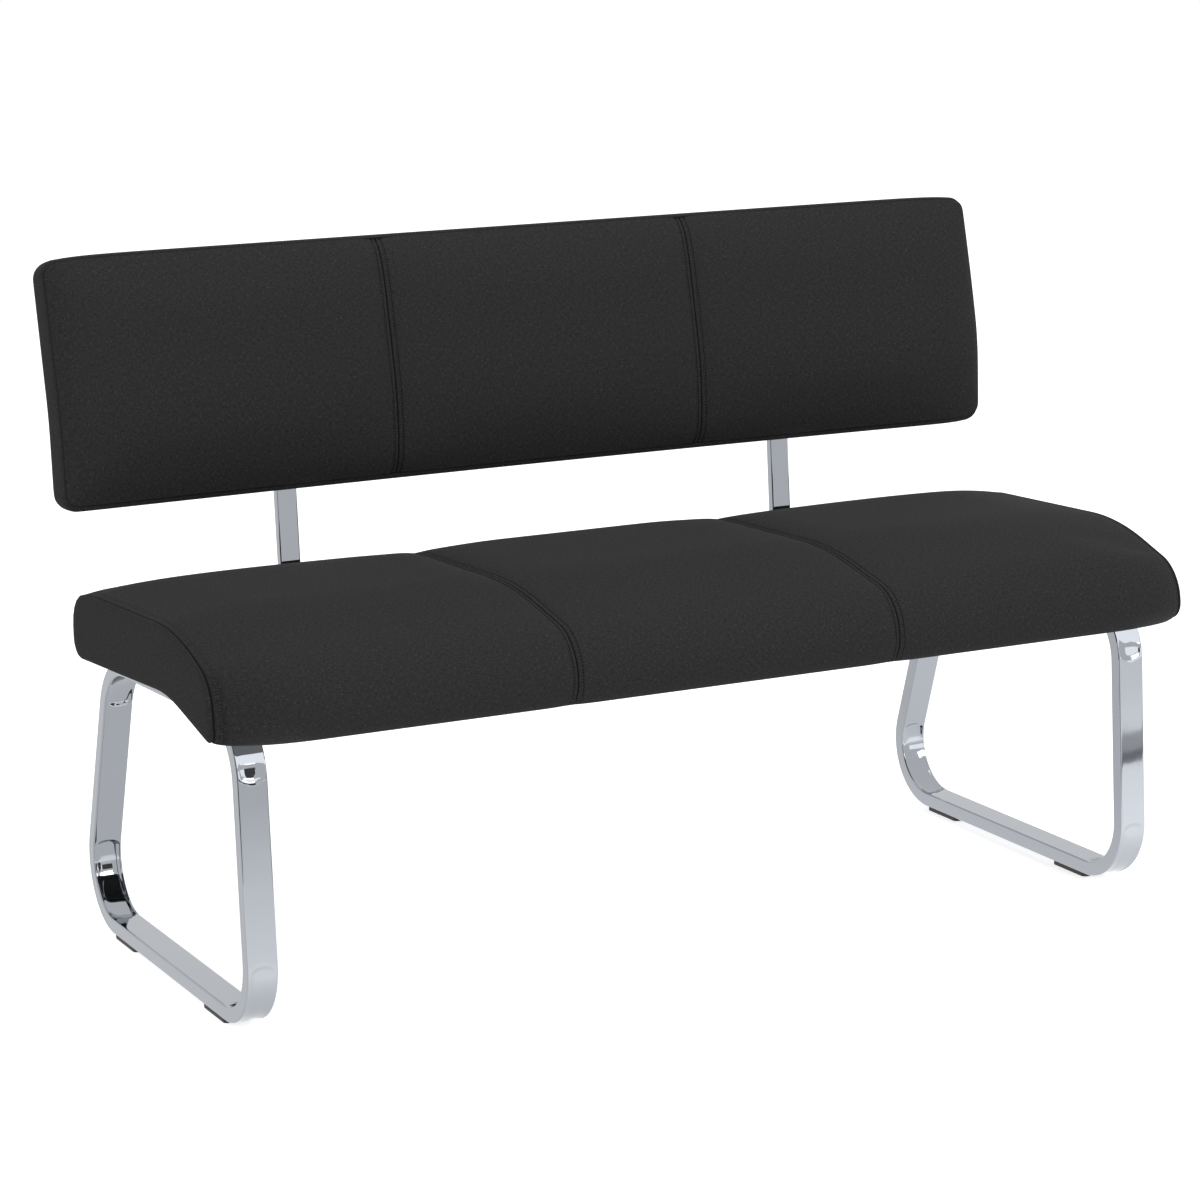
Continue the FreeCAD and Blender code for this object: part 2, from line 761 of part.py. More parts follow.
# The origin lies on the floor under the middle of the whole bench
front_most = pieces["seat_cover_centre"].optimalBoundingBox(False).YMin
rear_most = pieces["back_boxing"].optimalBoundingBox(False).YMax
for name, shape in pieces.items():
    shape.translate(V(0, -(front_most + rear_most) / 2, 0))
    shape.exportStep("parts/" + name + ".step")
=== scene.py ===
"""Dining bench with a padded back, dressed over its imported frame."""
import math

import bmesh
import bpy
from bpy.props import FloatProperty, IntProperty, PointerProperty, StringProperty
from mathutils import Euler, Matrix, Vector, noise


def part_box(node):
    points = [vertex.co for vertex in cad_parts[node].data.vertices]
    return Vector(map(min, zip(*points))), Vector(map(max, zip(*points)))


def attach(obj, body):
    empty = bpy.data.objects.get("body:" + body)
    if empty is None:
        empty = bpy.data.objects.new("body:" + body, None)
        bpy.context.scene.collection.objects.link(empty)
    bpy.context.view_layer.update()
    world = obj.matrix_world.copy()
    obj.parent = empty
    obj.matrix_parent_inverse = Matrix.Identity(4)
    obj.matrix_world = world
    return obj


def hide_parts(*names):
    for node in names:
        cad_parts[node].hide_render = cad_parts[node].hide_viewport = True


bl_info = {
    "name": "Dining Bench",
    "version": (1, 0, 0),
    "blender": (4, 5, 0),
    "location": "View3D > Sidebar > Bench",
    "description": "Builds the cushions, stitching, finishes and studio of a dining bench",
    "category": "Object",
}

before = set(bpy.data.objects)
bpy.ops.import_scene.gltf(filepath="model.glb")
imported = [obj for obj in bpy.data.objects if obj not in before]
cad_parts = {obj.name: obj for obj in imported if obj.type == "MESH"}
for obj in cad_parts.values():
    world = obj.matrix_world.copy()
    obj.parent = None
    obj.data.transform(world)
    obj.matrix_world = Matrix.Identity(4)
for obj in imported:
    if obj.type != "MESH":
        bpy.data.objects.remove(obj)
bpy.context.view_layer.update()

BODY = "root"
MM = 0.001
LEFT_RIGHT = (-1, 1)

# Corners of the seat's section, from the hollow behind the lip round under the rear and over the top
# to the lip: share of the depth, share of the rise, and radius as a share of the rise
HOLLOW, UNDER_REAR, FRONT = 0, 1, 5
SEAT_MIDDLE = [
    (0.255, 0.261, 0.44), (1.0, 0.152, 0.09), (1.0, 0.777, 0.22), (0.851, 0.933, 0.73),
    (0.330, 1.0, 3.92), (-0.008, 0.712, 0.49), (-0.008, 0.040, 0.26), (0.140, 0.044, 0.20),
]
SEAT_LEFT_END = [
    (0.370, 0.300, 2.0), (1.004, 0.140, 0.19), (1.0, 0.775, 0.36), (0.840, 0.838, 0.90),
    (0.315, 0.932, 2.5), (0.106, 0.615, 0.42), (0.092, 0.045, 0.10), (0.130, 0.075, 0.12),
]
SEAT_RIGHT_END = SEAT_LEFT_END[:3] + [
    (0.840, 0.868, 0.90), (0.315, 0.940, 2.6), (0.055, 0.585, 0.46), (0.042, 0.045, 0.175),
    (0.130, 0.085, 0.12),
]
# Corners of the underside, which stays flat on the board until close to an end
SEAT_UNDERSIDE = (0, 1, 7)
UNDER_ROLL = 0.03
SEAT_COVERS = ("seat_cover_left", "seat_cover_centre", "seat_cover_right", "seat_boxing_left",
               "seat_boxing_right", "seat_foam")
BACK_COVERS = ("back_cover_left", "back_cover_centre", "back_cover_right", "back_cover_rear",
               "back_boxing", "back_foam")


def measure(name, description, default):
    return FloatProperty(name=name, description=description, default=default, unit="LENGTH")


class SeatSettings(bpy.types.PropertyGroup):
    """Sizes of the seat cushion"""
    half_length: measure("Half length", "Middle to the end seam", 0.697)
    seam: measure("Panel seam", "Middle to a panel seam", 0.234)
    front: measure("Front edge", "Place of the front face", -0.3273)
    depth: measure("Depth", "Front face to rear face", 0.5625)
    lip: measure("Lip height", "Floor to the front lip", 0.375)
    rise: measure("Rise", "Lip to the seat top", 0.1377)
    end_roll: measure("End roll", "Length over which an end rounds off", 0.140)
    end_dome: measure("End dome", "Fullness of an end piece", 0.0065)
    swell: measure("Swell cap", "Most that the padding swells", 0.004)


class BackSettings(bpy.types.PropertyGroup):
    """Sizes of the back cushion"""
    half_length: measure("Half length", "Middle to an end seam", 0.706)
    seam: measure("Panel seam", "Middle to a panel seam", 0.235)
    low: measure("Lower edge", "Floor to the rear lower edge", 0.5845)
    kink: measure("Bend height", "Floor to where the back leans", 0.705)
    top: measure("Upper edge", "Floor to the rear upper edge", 0.911)
    rear: measure("Rear place", "Place of the rear lower edge", 0.2838)
    low_lean: FloatProperty(name="Lower lean", description="Lean below the bend", default=0.0585)
    high_lean: FloatProperty(name="Upper lean", description="Lean above the bend", default=0.2095)
    edge_depth: measure("Edge depth", "Rear face to the front seam", 0.061)
    dome: measure("Dome", "Fullness of the front face", 0.0205)
    end_roll: measure("End roll", "Length over which the front falls away", 0.012)
    corner: measure("Corner radius", "Radius of the front panel's corners", 0.018)
    swell: measure("Swell cap", "Most that the padding swells", 0.004)


class LegSettings(bpy.types.PropertyGroup):
    """Sizes of the bent tube leg loops"""
    spacing: measure("Spacing", "Middle of one loop to the other", 1.292)
    base: measure("Base", "Depth of a loop along the floor", 0.640)
    middle: measure("Base middle", "Place of the middle of the base", 0.0412)
    lift: measure("Lift", "Height of the glides under the tube", 0.005)
    width: measure("Tube width", "Width of the tube", 0.040)
    depth: measure("Tube depth", "Depth of the tube", 0.020)
    edge: measure("Edge radius", "Radius of the tube's edges", 0.0022)
    lower_bend: measure("Lower bend", "Outer radius of a lower bend", 0.090)
    front_bend: measure("Front bend", "Outer radius of the upper front bend", 0.088)
    rear_bend: measure("Rear bend", "Outer radius of the upper rear bend", 0.108)
    front_lean: FloatProperty(name="Front lean", description="Lean of the front upright", default=0.049)
    rear_lean: FloatProperty(name="Rear lean", description="Lean of the rear upright", default=0.353)
    dish: measure("Dish", "Depth of the dish pressed inside a bend", 0.0034)
    sink: measure("Sink", "Hollow left outside a bend", 0.0028)


class CoverSettings(bpy.types.PropertyGroup):
    """Cloth, seams and thread of both cushions"""
    cloth_colour: StringProperty(name="Cloth", description="Main yarn colour", default="#2b2b2c")
    cloth_dark: StringProperty(name="Dark yarn", description="Colour between the yarns", default="#202021")
    cloth_light: StringProperty(name="Light yarn", description="Colour of the slubs", default="#424243")
    thread_colour: StringProperty(name="Thread", description="Sewing thread colour", default="#4a4a4b")
    # The seam colour is painted shade: the dark that falls down in a seam's groove and its rows of stitches
    seam_shadow_colour: StringProperty(name="Seam", description="Colour down in a seam", default="#0e0e0e")
    seam_pull: measure("Seam pull", "How far a seam pulls the padding in", 0.0024)
    groove: measure("Groove", "Depth of the groove along a seam", 0.0024)
    row_gap: measure("Stitch row", "Seam to a row of stitches", 0.0065)
    stitch_pitch: measure("Stitch pitch", "One stitch to the next", 0.0042)
    thread: measure("Thread thickness", "Thickness of the sewing thread", 0.0008)
    spacing: measure("Mesh spacing", "Distance between mesh lines", 0.0075)
    frames: IntProperty(name="Cloth frames", description="Frames that the padding swells for", default=20)


class StageSettings(bpy.types.PropertyGroup):
    """Camera and studio"""
    lens: FloatProperty(name="Lens", description="Focal length on a 36 mm sensor", default=106.95,
                        subtype="DISTANCE_CAMERA")
    yaw: FloatProperty(name="Yaw", description="Turn of the camera", default=math.radians(26.618),
                       subtype="ANGLE")
    pitch: FloatProperty(name="Pitch", description="Downward tilt of the camera",
                         default=math.radians(11.999), subtype="ANGLE")
    roll: FloatProperty(name="Roll", description="Sideways tilt of the camera", default=math.radians(-0.982),
                        subtype="ANGLE")
    floor_colour: StringProperty(name="Floor", description="Floor colour", default="#f4f4f4")


# Colours and nodes
def linear(colour):
    channels = [int(colour[i:i + 2], 16) / 255 for i in (1, 3, 5)]
    return [c / 12.92 if c <= 0.04045 else ((c + 0.055) / 1.055) ** 2.4 for c in channels] + [1.0]


def add(tree, kind, inputs=None, stops=(), **settings):
    node = tree.nodes.new(kind)
    for name, value in settings.items():
        setattr(node, name, value)
    for name, value in (inputs or {}).items():
        socket = node.inputs[name]
        if isinstance(value, bpy.types.NodeSocket):
            tree.links.new(value, socket)
        else:
            socket.default_value = value
    if stops:
        elements = node.color_ramp.elements
        while len(elements) < len(stops):
            elements.new(1.0)
        for element, (place, colour) in zip(elements, stops):
            element.position = place
            element.color = linear(colour)
    return node


def start_material(name):
    material = bpy.data.materials.get(name)
    if material:
        return material, None, None
    material = bpy.data.materials.new(name)
    material.use_nodes = True
    tree = material.node_tree
    return material, tree, tree.nodes["Principled BSDF"]


def set_inputs(shader, values):
    for name, value in values.items():
        shader.inputs[name].default_value = value


def colour_and_raise(tree, shader, grain, stops, strength, depth):
    """Colours a finish by its grain and raises the grain a little."""
    colour = add(tree, "ShaderNodeValToRGB", {"Fac": grain.outputs["Fac"]}, stops)
    tree.links.new(colour.outputs["Color"], shader.inputs["Base Color"])
    bump = add(tree, "ShaderNodeBump",
               {"Height": grain.outputs["Fac"], "Strength": strength, "Distance": depth})
    tree.links.new(bump.outputs[0], shader.inputs["Normal"])


def grained(name, size, detail, stops, values):
    """A plain finish with an even grain of one size."""
    material, tree, shader = start_material(name)
    if tree:
        place = add(tree, "ShaderNodeTexCoord").outputs["Object"]
        grain = add(tree, "ShaderNodeTexNoise", {"Vector": place, "Scale": 1 / size, "Detail": detail})
        colour_and_raise(tree, shader, grain, stops, 0.3, 0.1 * MM)
        set_inputs(shader, values)
    return material


# Woven polyester, plain weave with slubs: matt, dark, flecked where a thick yarn lies on top.
# The real yarns lie about 0.7 mm apart; they are drawn at 1.6 mm so that they show in a picture.
def woven_cloth(covers):
    material, tree, shader = start_material("woven_polyester")
    if not tree:
        return material
    yarn = 1.6 * MM
    slub_length, slub_width = 5 * MM, 1.5 * MM
    place = add(tree, "ShaderNodeUVMap", uv_map="cloth").outputs["UV"]
    turns = 2 * math.pi / (2 * yarn)
    split = add(tree, "ShaderNodeSeparateXYZ", {"Vector": place})
    waves = []
    for axis in ("X", "Y"):
        angle = add(tree, "ShaderNodeMath", {0: split.outputs[axis], 1: turns}, operation="MULTIPLY")
        wave = add(tree, "ShaderNodeMath", {0: angle.outputs[0]}, operation="SINE")
        waves.append(wave.outputs[0])
    over = add(tree, "ShaderNodeMath", {0: waves[0], 1: waves[1]}, operation="MULTIPLY")
    weave = add(tree, "ShaderNodeMapRange", {"Value": over.outputs[0], "From Min": -1.0, "From Max": 1.0})
    slubs = []
    for x, y in ((slub_length, slub_width), (slub_width, slub_length)):
        stretched = add(tree, "ShaderNodeMapping", {"Vector": place, "Scale": (1 / x, 1 / y, 1)})
        slub = add(tree, "ShaderNodeTexNoise", {"Vector": stretched.outputs[0], "Scale": 1.0, "Detail": 1.0},
                   noise_dimensions="2D")
        slubs.append(slub.outputs["Fac"])
    most = add(tree, "ShaderNodeMath", {0: slubs[0], 1: slubs[1]}, operation="MAXIMUM")
    least = add(tree, "ShaderNodeMath", {0: slubs[0], 1: slubs[1]}, operation="MINIMUM")
    light = add(tree, "ShaderNodeMapRange", {"Value": most.outputs[0], "From Min": 0.64, "From Max": 0.88})
    dark = add(tree, "ShaderNodeMapRange", {"Value": least.outputs[0], "From Min": 0.39, "From Max": 0.17})
    shade = add(tree, "ShaderNodeMath", {0: weave.outputs[0], 1: 0.12, 2: 0.36}, operation="MULTIPLY_ADD")
    for fleck, share in ((light, 0.48), (dark, -0.48)):
        shade = add(tree, "ShaderNodeMath", {0: fleck.outputs[0], 1: share, 2: shade.outputs[0]},
                    operation="MULTIPLY_ADD")
    yarns = add(tree, "ShaderNodeValToRGB", {"Fac": shade.outputs[0]},
                [(0.0, covers.cloth_dark), (0.42, covers.cloth_colour), (1.0, covers.cloth_light)])
    # Painted shade: the cloth darkens towards the seam colour where the shade attribute marks a seam's
    # groove, its rows of stitches or a boxing rim
    sewn = add(tree, "ShaderNodeAttribute", attribute_name="shade")
    colour = add(tree, "ShaderNodeMix", {"Factor": sewn.outputs["Fac"], "A": yarns.outputs["Color"]},
                 data_type="RGBA")
    colour.inputs["B"].default_value = linear(covers.seam_shadow_colour)
    tree.links.new(colour.outputs["Result"], shader.inputs["Base Color"])
    height = add(tree, "ShaderNodeMath", {0: shade.outputs[0], 1: 0.5}, operation="MULTIPLY")
    bump = add(tree, "ShaderNodeBump", {"Height": height.outputs[0], "Strength": 0.35, "Distance": 0.35 * MM})
    tree.links.new(bump.outputs[0], shader.inputs["Normal"])
    set_inputs(shader, {"Roughness": 0.92, "IOR": 1.45, "Specular IOR Level": 0.1, "Sheen Weight": 0.01,
                        "Sheen Roughness": 0.45})
    return material


# Polyester sewing thread, two plies twisted together, a little glossier than the cloth
def sewing_thread(covers):
    material, tree, shader = start_material("polyester_thread")
    if not tree:
        return material
    place = add(tree, "ShaderNodeTexCoord").outputs["Object"]
    ply = add(tree, "ShaderNodeTexNoise", {"Vector": place, "Scale": 1 / (0.8 * MM), "Detail": 1.0})
    colour = add(tree, "ShaderNodeValToRGB", {"Fac": ply.outputs["Fac"]},
                 [(0.3, covers.cloth_colour), (0.7, covers.thread_colour)])
    tree.links.new(colour.outputs["Color"], shader.inputs["Base Color"])
    set_inputs(shader, {"Roughness": 0.55, "IOR": 1.5})
    return material


# Chrome plate on drawn tube: mirror bright, with the faint waviness of the polished steel under it
def chrome_plate():
    material, tree, shader = start_material("chrome_plate")
    if not tree:
        return material
    place = add(tree, "ShaderNodeTexCoord").outputs["Object"]
    wave = add(tree, "ShaderNodeTexNoise", {"Vector": place, "Scale": 1 / (70 * MM), "Detail": 1.0})
    haze = add(tree, "ShaderNodeTexNoise", {"Vector": place, "Scale": 1 / (6 * MM), "Detail": 3.0})
    rough = add(tree, "ShaderNodeMapRange", {"Value": haze.outputs["Fac"], "To Min": 0.03, "To Max": 0.07})
    tree.links.new(rough.outputs[0], shader.inputs["Roughness"])
    bump = add(tree, "ShaderNodeBump", {"Height": wave.outputs["Fac"], "Strength": 0.12, "Distance": 2 * MM})
    tree.links.new(bump.outputs[0], shader.inputs["Normal"])
    set_inputs(shader, {"Base Color": linear("#a2a6ac"), "Metallic": 1.0})
    return material


# Polypropylene glides: moulded, matt black, with a fine spark grain
def moulded_polypropylene():
    return grained("moulded_polypropylene", 0.6 * MM, 2.0, [(0.3, "#161617"), (0.7, "#222223")],
                   {"Roughness": 0.55, "IOR": 1.49})


# Spunbond nonwoven under the seat: thin black web, embossed with small bond points
def spunbond():
    material, tree, shader = start_material("spunbond_nonwoven")
    if not tree:
        return material
    place = add(tree, "ShaderNodeTexCoord").outputs["Object"]
    points = add(tree, "ShaderNodeTexVoronoi", {"Vector": place, "Scale": 1 / (2.5 * MM), "Randomness": 0.15})
    web = add(tree, "ShaderNodeTexNoise", {"Vector": place, "Scale": 1 / (3 * MM), "Detail": 4.0})
    colour = add(tree, "ShaderNodeValToRGB", {"Fac": web.outputs["Fac"]},
                 [(0.3, "#171717"), (0.75, "#262626")])
    tree.links.new(colour.outputs["Color"], shader.inputs["Base Color"])
    bump = add(tree, "ShaderNodeBump", {"Height": points.outputs["Distance"], "Strength": 0.5,
                                        "Distance": 0.3 * MM})
    tree.links.new(bump.outputs[0], shader.inputs["Normal"])
    set_inputs(shader, {"Roughness": 0.9, "IOR": 1.49, "Specular IOR Level": 0.3})
    return material


# Zinc plated steel fasteners: bright, slightly hazy
def zinc_plate():
    material, tree, shader = start_material("zinc_plated_steel")
    if not tree:
        return material
    place = add(tree, "ShaderNodeTexCoord").outputs["Object"]
    spangle = add(tree, "ShaderNodeTexNoise", {"Vector": place, "Scale": 1 / (1.5 * MM), "Detail": 2.0})
    rough = add(tree, "ShaderNodeMapRange", {"Value": spangle.outputs["Fac"], "To Min": 0.22, "To Max": 0.42})
    tree.links.new(rough.outputs[0], shader.inputs["Roughness"])
    colour = add(tree, "ShaderNodeValToRGB", {"Fac": spangle.outputs["Fac"]},
                 [(0.3, "#a4a6a8"), (0.7, "#c2c4c6")])
    tree.links.new(colour.outputs["Color"], shader.inputs["Base Color"])
    set_inputs(shader, {"Metallic": 1.0})
    return material


# Powder coat on the seat rails: black, satin, with a fine orange peel
def powder_coat():
    return grained("black_powder_coat", 1.2 * MM, 1.0, [(0.3, "#1b1b1b"), (0.7, "#232323")],
                   {"Roughness": 0.45, "IOR": 1.5})


# Birch plywood boards: pale veneer with fine grain along the bench
def birch_plywood():
    material, tree, shader = start_material("birch_plywood")
    if not tree:
        return material
    place = add(tree, "ShaderNodeTexCoord").outputs["Object"]
    along = add(tree, "ShaderNodeMapping", {"Vector": place, "Scale": (8, 1 / (4 * MM), 1 / (1.4 * MM))})
    grain = add(tree, "ShaderNodeTexNoise", {"Vector": along.outputs[0], "Scale": 1.0, "Detail": 4.0})
    colour_and_raise(tree, shader, grain, [(0.3, "#b08a5c"), (0.7, "#d2b182")], 0.2, 0.1 * MM)
    set_inputs(shader, {"Roughness": 0.65, "IOR": 1.5})
    return material


# Outlines
def round_corner(before, corner, after, radius):
    """Start, end and centre of the arc that rounds a corner."""
    to_before = (before - corner).normalized()
    to_after = (after - corner).normalized()
    half = to_before.angle(to_after) / 2
    run = radius / math.tan(half)
    centre = corner + (to_before + to_after).normalized() * (radius / math.sin(half))
    return corner + to_before * run, corner + to_after * run, centre


def arc_points(start, end, centre, count):
    first = start - centre
    turn = first.angle_signed(end - centre)
    for i in range(count):
        angle = -turn * i / count
        yield centre + Vector((first.x * math.cos(angle) - first.y * math.sin(angle),
                               first.x * math.sin(angle) + first.y * math.cos(angle)))


def outline_corners(points, radii):
    count = len(points)
    return [round_corner(points[i - 1], points[i], points[(i + 1) % count], radii[i]) for i in range(count)]


def outline_counts(corners, spacing):
    """Mesh steps of each corner's arc and of the line after it."""
    counts = []
    for i, (start, end, centre) in enumerate(corners):
        arc = (start - centre).length * (start - centre).angle(end - centre)
        line = (corners[(i + 1) % len(corners)][0] - end).length
        counts.append((max(4, round(arc / spacing)), max(1, round(line / spacing))))
    return counts


def outline_points(corners, counts):
    """Points round an outline, in steps of these counts."""
    result = []
    for i, (start, end, centre) in enumerate(corners):
        result.extend(arc_points(start, end, centre, counts[i][0]))
        to = corners[(i + 1) % len(corners)][0]
        for j in range(counts[i][1]):
            result.append(end.lerp(to, j / counts[i][1]))
    return result


def inset(points, radii, amount):
    """Corners and radii of an outline that lies this far inside."""
    count = len(points)
    ways = [(points[(i + 1) % count] - points[i]).normalized() for i in range(count)]
    starts = [points[i] + Vector((-ways[i].y, ways[i].x)) * amount for i in range(count)]
    new_points = []
    new_radii = []
    for i in range(count):
        a, b = ways[i - 1], ways[i]
        gap = starts[i] - starts[i - 1]
        cross = a.x * b.y - a.y * b.x
        new_points.append(starts[i - 1] + a * ((gap.x * b.y - gap.y * b.x) / cross))
        side = 1 if cross > 0 else -1
        new_radii.append(max(radii[i] - side * amount, 0.5 * MM))
    return new_points, new_radii


# Mesh helpers
def piece_from(bm, name, material):
    mesh = bpy.data.meshes.new(name)
    bm.normal_update()
    bm.to_mesh(mesh)
    bm.free()
    for polygon in mesh.polygons:
        polygon.use_smooth = True
    mesh.materials.append(material)
    piece = bpy.data.objects.new(name, mesh)
    bpy.context.scene.collection.objects.link(piece)
    return piece


def grow_ring(bm, edges):
    """Extrudes a ring of edges and gives the new ring's vertices and edges."""
    grown = bmesh.ops.extrude_edge_only(bm, edges=edges)["geom"]
    return ([g for g in grown if isinstance(g, bmesh.types.BMVert)],
            [g for g in grown if isinstance(g, bmesh.types.BMEdge)])


def numbered_ring(bm, count):
    """Starts a tube from a ring whose vertices know their place in the section."""
    number = bm.verts.layers.int.new("number")
    ring = bmesh.ops.create_circle(bm, cap_ends=False, radius=1, segments=count)["verts"]
    for i, vert in enumerate(ring):
        vert[number] = i
    return number, ring, bm.edges[:]


def cloth_layers(bm):
    """Adds what a cover's vertices carry: their place across and along the cloth, and a share of painted
    shade.
    """
    return [bm.verts.layers.float.new(name) for name in ("across", "along", "shade")]


def bell(distance, width):
    return math.exp(-(distance / width) ** 2)


def dress(names, material):
    for name in names:
        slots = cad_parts[name].data.materials
        slots.clear()
        slots.append(material)


# The cover as it swells over its padding, and how its swelling is evened out
SWELLING = {"quality": 6, "mass": 0.3, "tension_stiffness": 12, "compression_stiffness": 12,
            "shear_stiffness": 6, "bending_stiffness": 1.5, "use_pressure": True,
            "uniform_pressure_force": 4.0}
EASING_ROUNDS, EASING_SHARE = 10, 0.6


def swell(bm, held, cap, frames):
    """Lets the padding push the cover out with a cloth run; held vertices stay where they are sewn."""
    # Edges and faces are put in a set order, so that the cover swells alike each time
    count = len(bm.verts)
    for parts in (bm.edges, bm.faces):
        parts.sort(key=lambda p: min(v.index for v in p.verts) * count + max(v.index for v in p.verts))
    mesh = bpy.data.meshes.new("swelling")
    bm.to_mesh(mesh)
    sack = bpy.data.objects.new("swelling", mesh)
    scene = bpy.context.scene
    scene.collection.objects.link(sack)
    group = sack.vertex_groups.new(name="held")
    group.add(held, 1.0, "REPLACE")
    cloth = sack.modifiers.new("Cloth", "CLOTH")
    for name, value in SWELLING.items():
        setattr(cloth.settings, name, value)
    cloth.settings.vertex_group_mass = group.name
    cloth.settings.effector_weights.gravity = 0
    cloth.collision_settings.use_collision = False
    cloth.point_cache.frame_start = 1
    cloth.point_cache.frame_end = frames
    for step in range(1, frames + 1):
        scene.frame_set(step)
    grown = sack.evaluated_get(bpy.context.evaluated_depsgraph_get()).to_mesh()
    moved = [v.co.copy() for v in grown.vertices]
    bpy.data.objects.remove(sack)
    bpy.data.meshes.remove(mesh)
    scene.frame_set(1)
    shifts = []
    for vert, place in zip(bm.verts, moved):
        shift = place - vert.co
        shifts.append(shift * min(1.0, cap / max(shift.length, 1e-9)))
    fixed = set(held)
    near = [[e.other_vert(v).index for e in v.link_edges] for v in bm.verts]
    for _ in range(EASING_ROUNDS):
        eased = []
        for i, others in enumerate(near):
            mean = sum((shifts[j] for j in others), Vector()) / len(others)
            eased.append(shifts[i] if i in fixed else shifts[i].lerp(mean, EASING_SHARE))
        shifts = eased
    for vert, shift in zip(bm.verts, shifts):
        vert.co += shift


def write_cloth_map(bm, across, along):
    layer = bm.loops.layers.uv.new("cloth")
    for face in bm.faces:
        for loop in face.loops:
            loop[layer].uv = (loop.vert[across], loop.vert[along])


# Seams in mm: mesh lines on each side of a panel seam, then the widths of what a seam does to the cloth,
# among them the width and strength of the painted shade in its groove and rows of stitches
SEAM_OFFSETS = [0, 0.5, 1.0, 1.7, 2.8, 4.2, 5.2, 5.9, 6.5, 7.1, 7.8, 9, 11, 14, 20]
SEAM_HOLD = 11
SEAT_REACH, BACK_REACH = 60, 45
PULL_WIDTH = 20
GROOVE_WIDTH = 0.9
SHADE_WIDTH = 0.7
ROW_WIDTH = 1.1
ROW_DEPTH = 1.5
ROW_SHADE = 0.9
BITE_LENGTH, BITE_DEPTH = 7, 0.4
PUCKER_LENGTH, PUCKER_WIDTH, PUCKER_DEPTH, PUCKER_REACH = 14, 30, 0.7, 16
# The seam between the seat and an end piece: its row of stitches, its width, and the strength of the painted
# shade along its row; the painted shade along the seam and the row is as wide as the seam
END_ROW = 7.5
END_SEAM_WIDTH = 1.0
END_ROW_SHADE = 0.7


def seam_dip(covers, offset, along, seed):
    """Depth of the cover below its padding, this far from a panel seam."""
    row = abs(offset) - covers.row_gap
    pull = covers.seam_pull * bell(offset, PULL_WIDTH * MM)
    groove = covers.groove * bell(offset, GROOVE_WIDTH * MM)
    bite = noise.noise(Vector((along / (BITE_LENGTH * MM), seed, 0)))
    stitch = (ROW_DEPTH + BITE_DEPTH * bite) * MM * bell(row, ROW_WIDTH * MM)
    pucker = 0.0
    if row > 0:
        ripple = noise.noise(Vector((along / (PUCKER_LENGTH * MM), seed + 5, offset / (PUCKER_WIDTH * MM))))
        pucker = PUCKER_DEPTH * MM * ripple * bell(row, PUCKER_REACH * MM)
    return pull + groove + stitch + pucker


def seam_shade(covers, offset):
    """Share of painted shade in the groove and the rows of stitches, this far from a panel seam."""
    row = abs(offset) - covers.row_gap
    return min(1.0, bell(offset, SHADE_WIDTH * MM) + ROW_SHADE * bell(row, ROW_WIDTH * MM))


def pull_seams(bm, layers, covers, seam, reach, seed, share):
    """Draws the cover down along both panel seams; share gives how much of the pull a vertex takes."""
    across, along, shade = layers
    dips = []
    for vert in bm.verts:
        offset = min((vert[across] - side * seam for side in LEFT_RIGHT), key=abs)
        part = share(vert)
        if part and abs(offset) < reach:
            depth = seam_dip(covers, offset, vert[along], math.copysign(seed, vert[across]))
            dips.append((vert, vert.normal * (-part * depth)))
            # Painted shade in the seam's groove and rows of stitches
            vert[shade] = max(vert[shade], seam_shade(covers, offset))
    for vert, shift in dips:
        vert.co += shift


def spread(low, high, count):
    return [low + (high - low) * i / count for i in range(count + 1)]


def seam_lines(seam):
    """Places of the mesh lines that carry a panel seam, its rows of stitches and its pull."""
    before = [seam - offset * MM for offset in reversed(SEAM_OFFSETS[1:])]
    return before + [seam + offset * MM for offset in SEAM_OFFSETS]


def row_path(bm, across, along, place, keep):
    """The mesh line at one place across the cushion, in order along the cloth."""
    verts = [v for v in bm.verts if abs(v[across] - place) < 0.01 * MM and keep(v)]
    verts.sort(key=lambda v: v[along])
    return [(v.co.copy(), v.normal.copy()) for v in verts]


def seam_paths(bm, across, along, covers, seam, keep):
    """The rows of stitches on both sides of each panel seam."""
    return [row_path(bm, across, along, side * (seam + way * covers.row_gap), keep)
            for side in LEFT_RIGHT for way in LEFT_RIGHT]


def sew_row(bm, path, covers):
    """Lays stitches along a path of points and normals."""
    pitch = covers.stitch_pitch
    radius = covers.thread / 2
    longest_step = 30 * MM
    lift = 0.15 * MM
    size = Matrix.Diagonal((pitch * 0.42, radius, radius * 0.9, 1))
    travelled = 0.0
    due = pitch / 2
    for (a, normal), (b, _) in zip(path, path[1:]):
        run = b - a
        length = run.length
        if length > longest_step or length == 0:
            continue
        way = run.normalized()
        side = normal.cross(way).normalized()
        turn = Matrix((way, side, way.cross(side))).transposed().to_4x4()
        while due <= travelled + length:
            spot = a + run * ((due - travelled) / length) + normal * lift
            bmesh.ops.create_uvsphere(bm, u_segments=6, v_segments=4, radius=1,
                                      matrix=Matrix.Translation(spot) @ turn @ size)
            due += pitch
        travelled += length


def sew(name, paths, covers):
    """Makes one piece of all the rows of stitches on a cushion."""
    thread = bmesh.new()
    for path in paths:
        row = bmesh.new()
        sew_row(row, path, covers)
        mesh = bpy.data.meshes.new("row")
        row.to_mesh(mesh)
        row.free()
        thread.from_mesh(mesh)
        bpy.data.meshes.remove(mesh)
    stitching = piece_from(thread, name, sewing_thread(covers))
    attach(stitching, BODY)


# Seat cushion; shares are of the seat's depth and rise
SPINE_FRONT, SPINE_REAR = (0.30, 0.55), (0.90, 0.47)
LIP_DEPTH = 0.24
END_ROW_TOP = 0.64
UNDERSIDE_TOP = 0.27
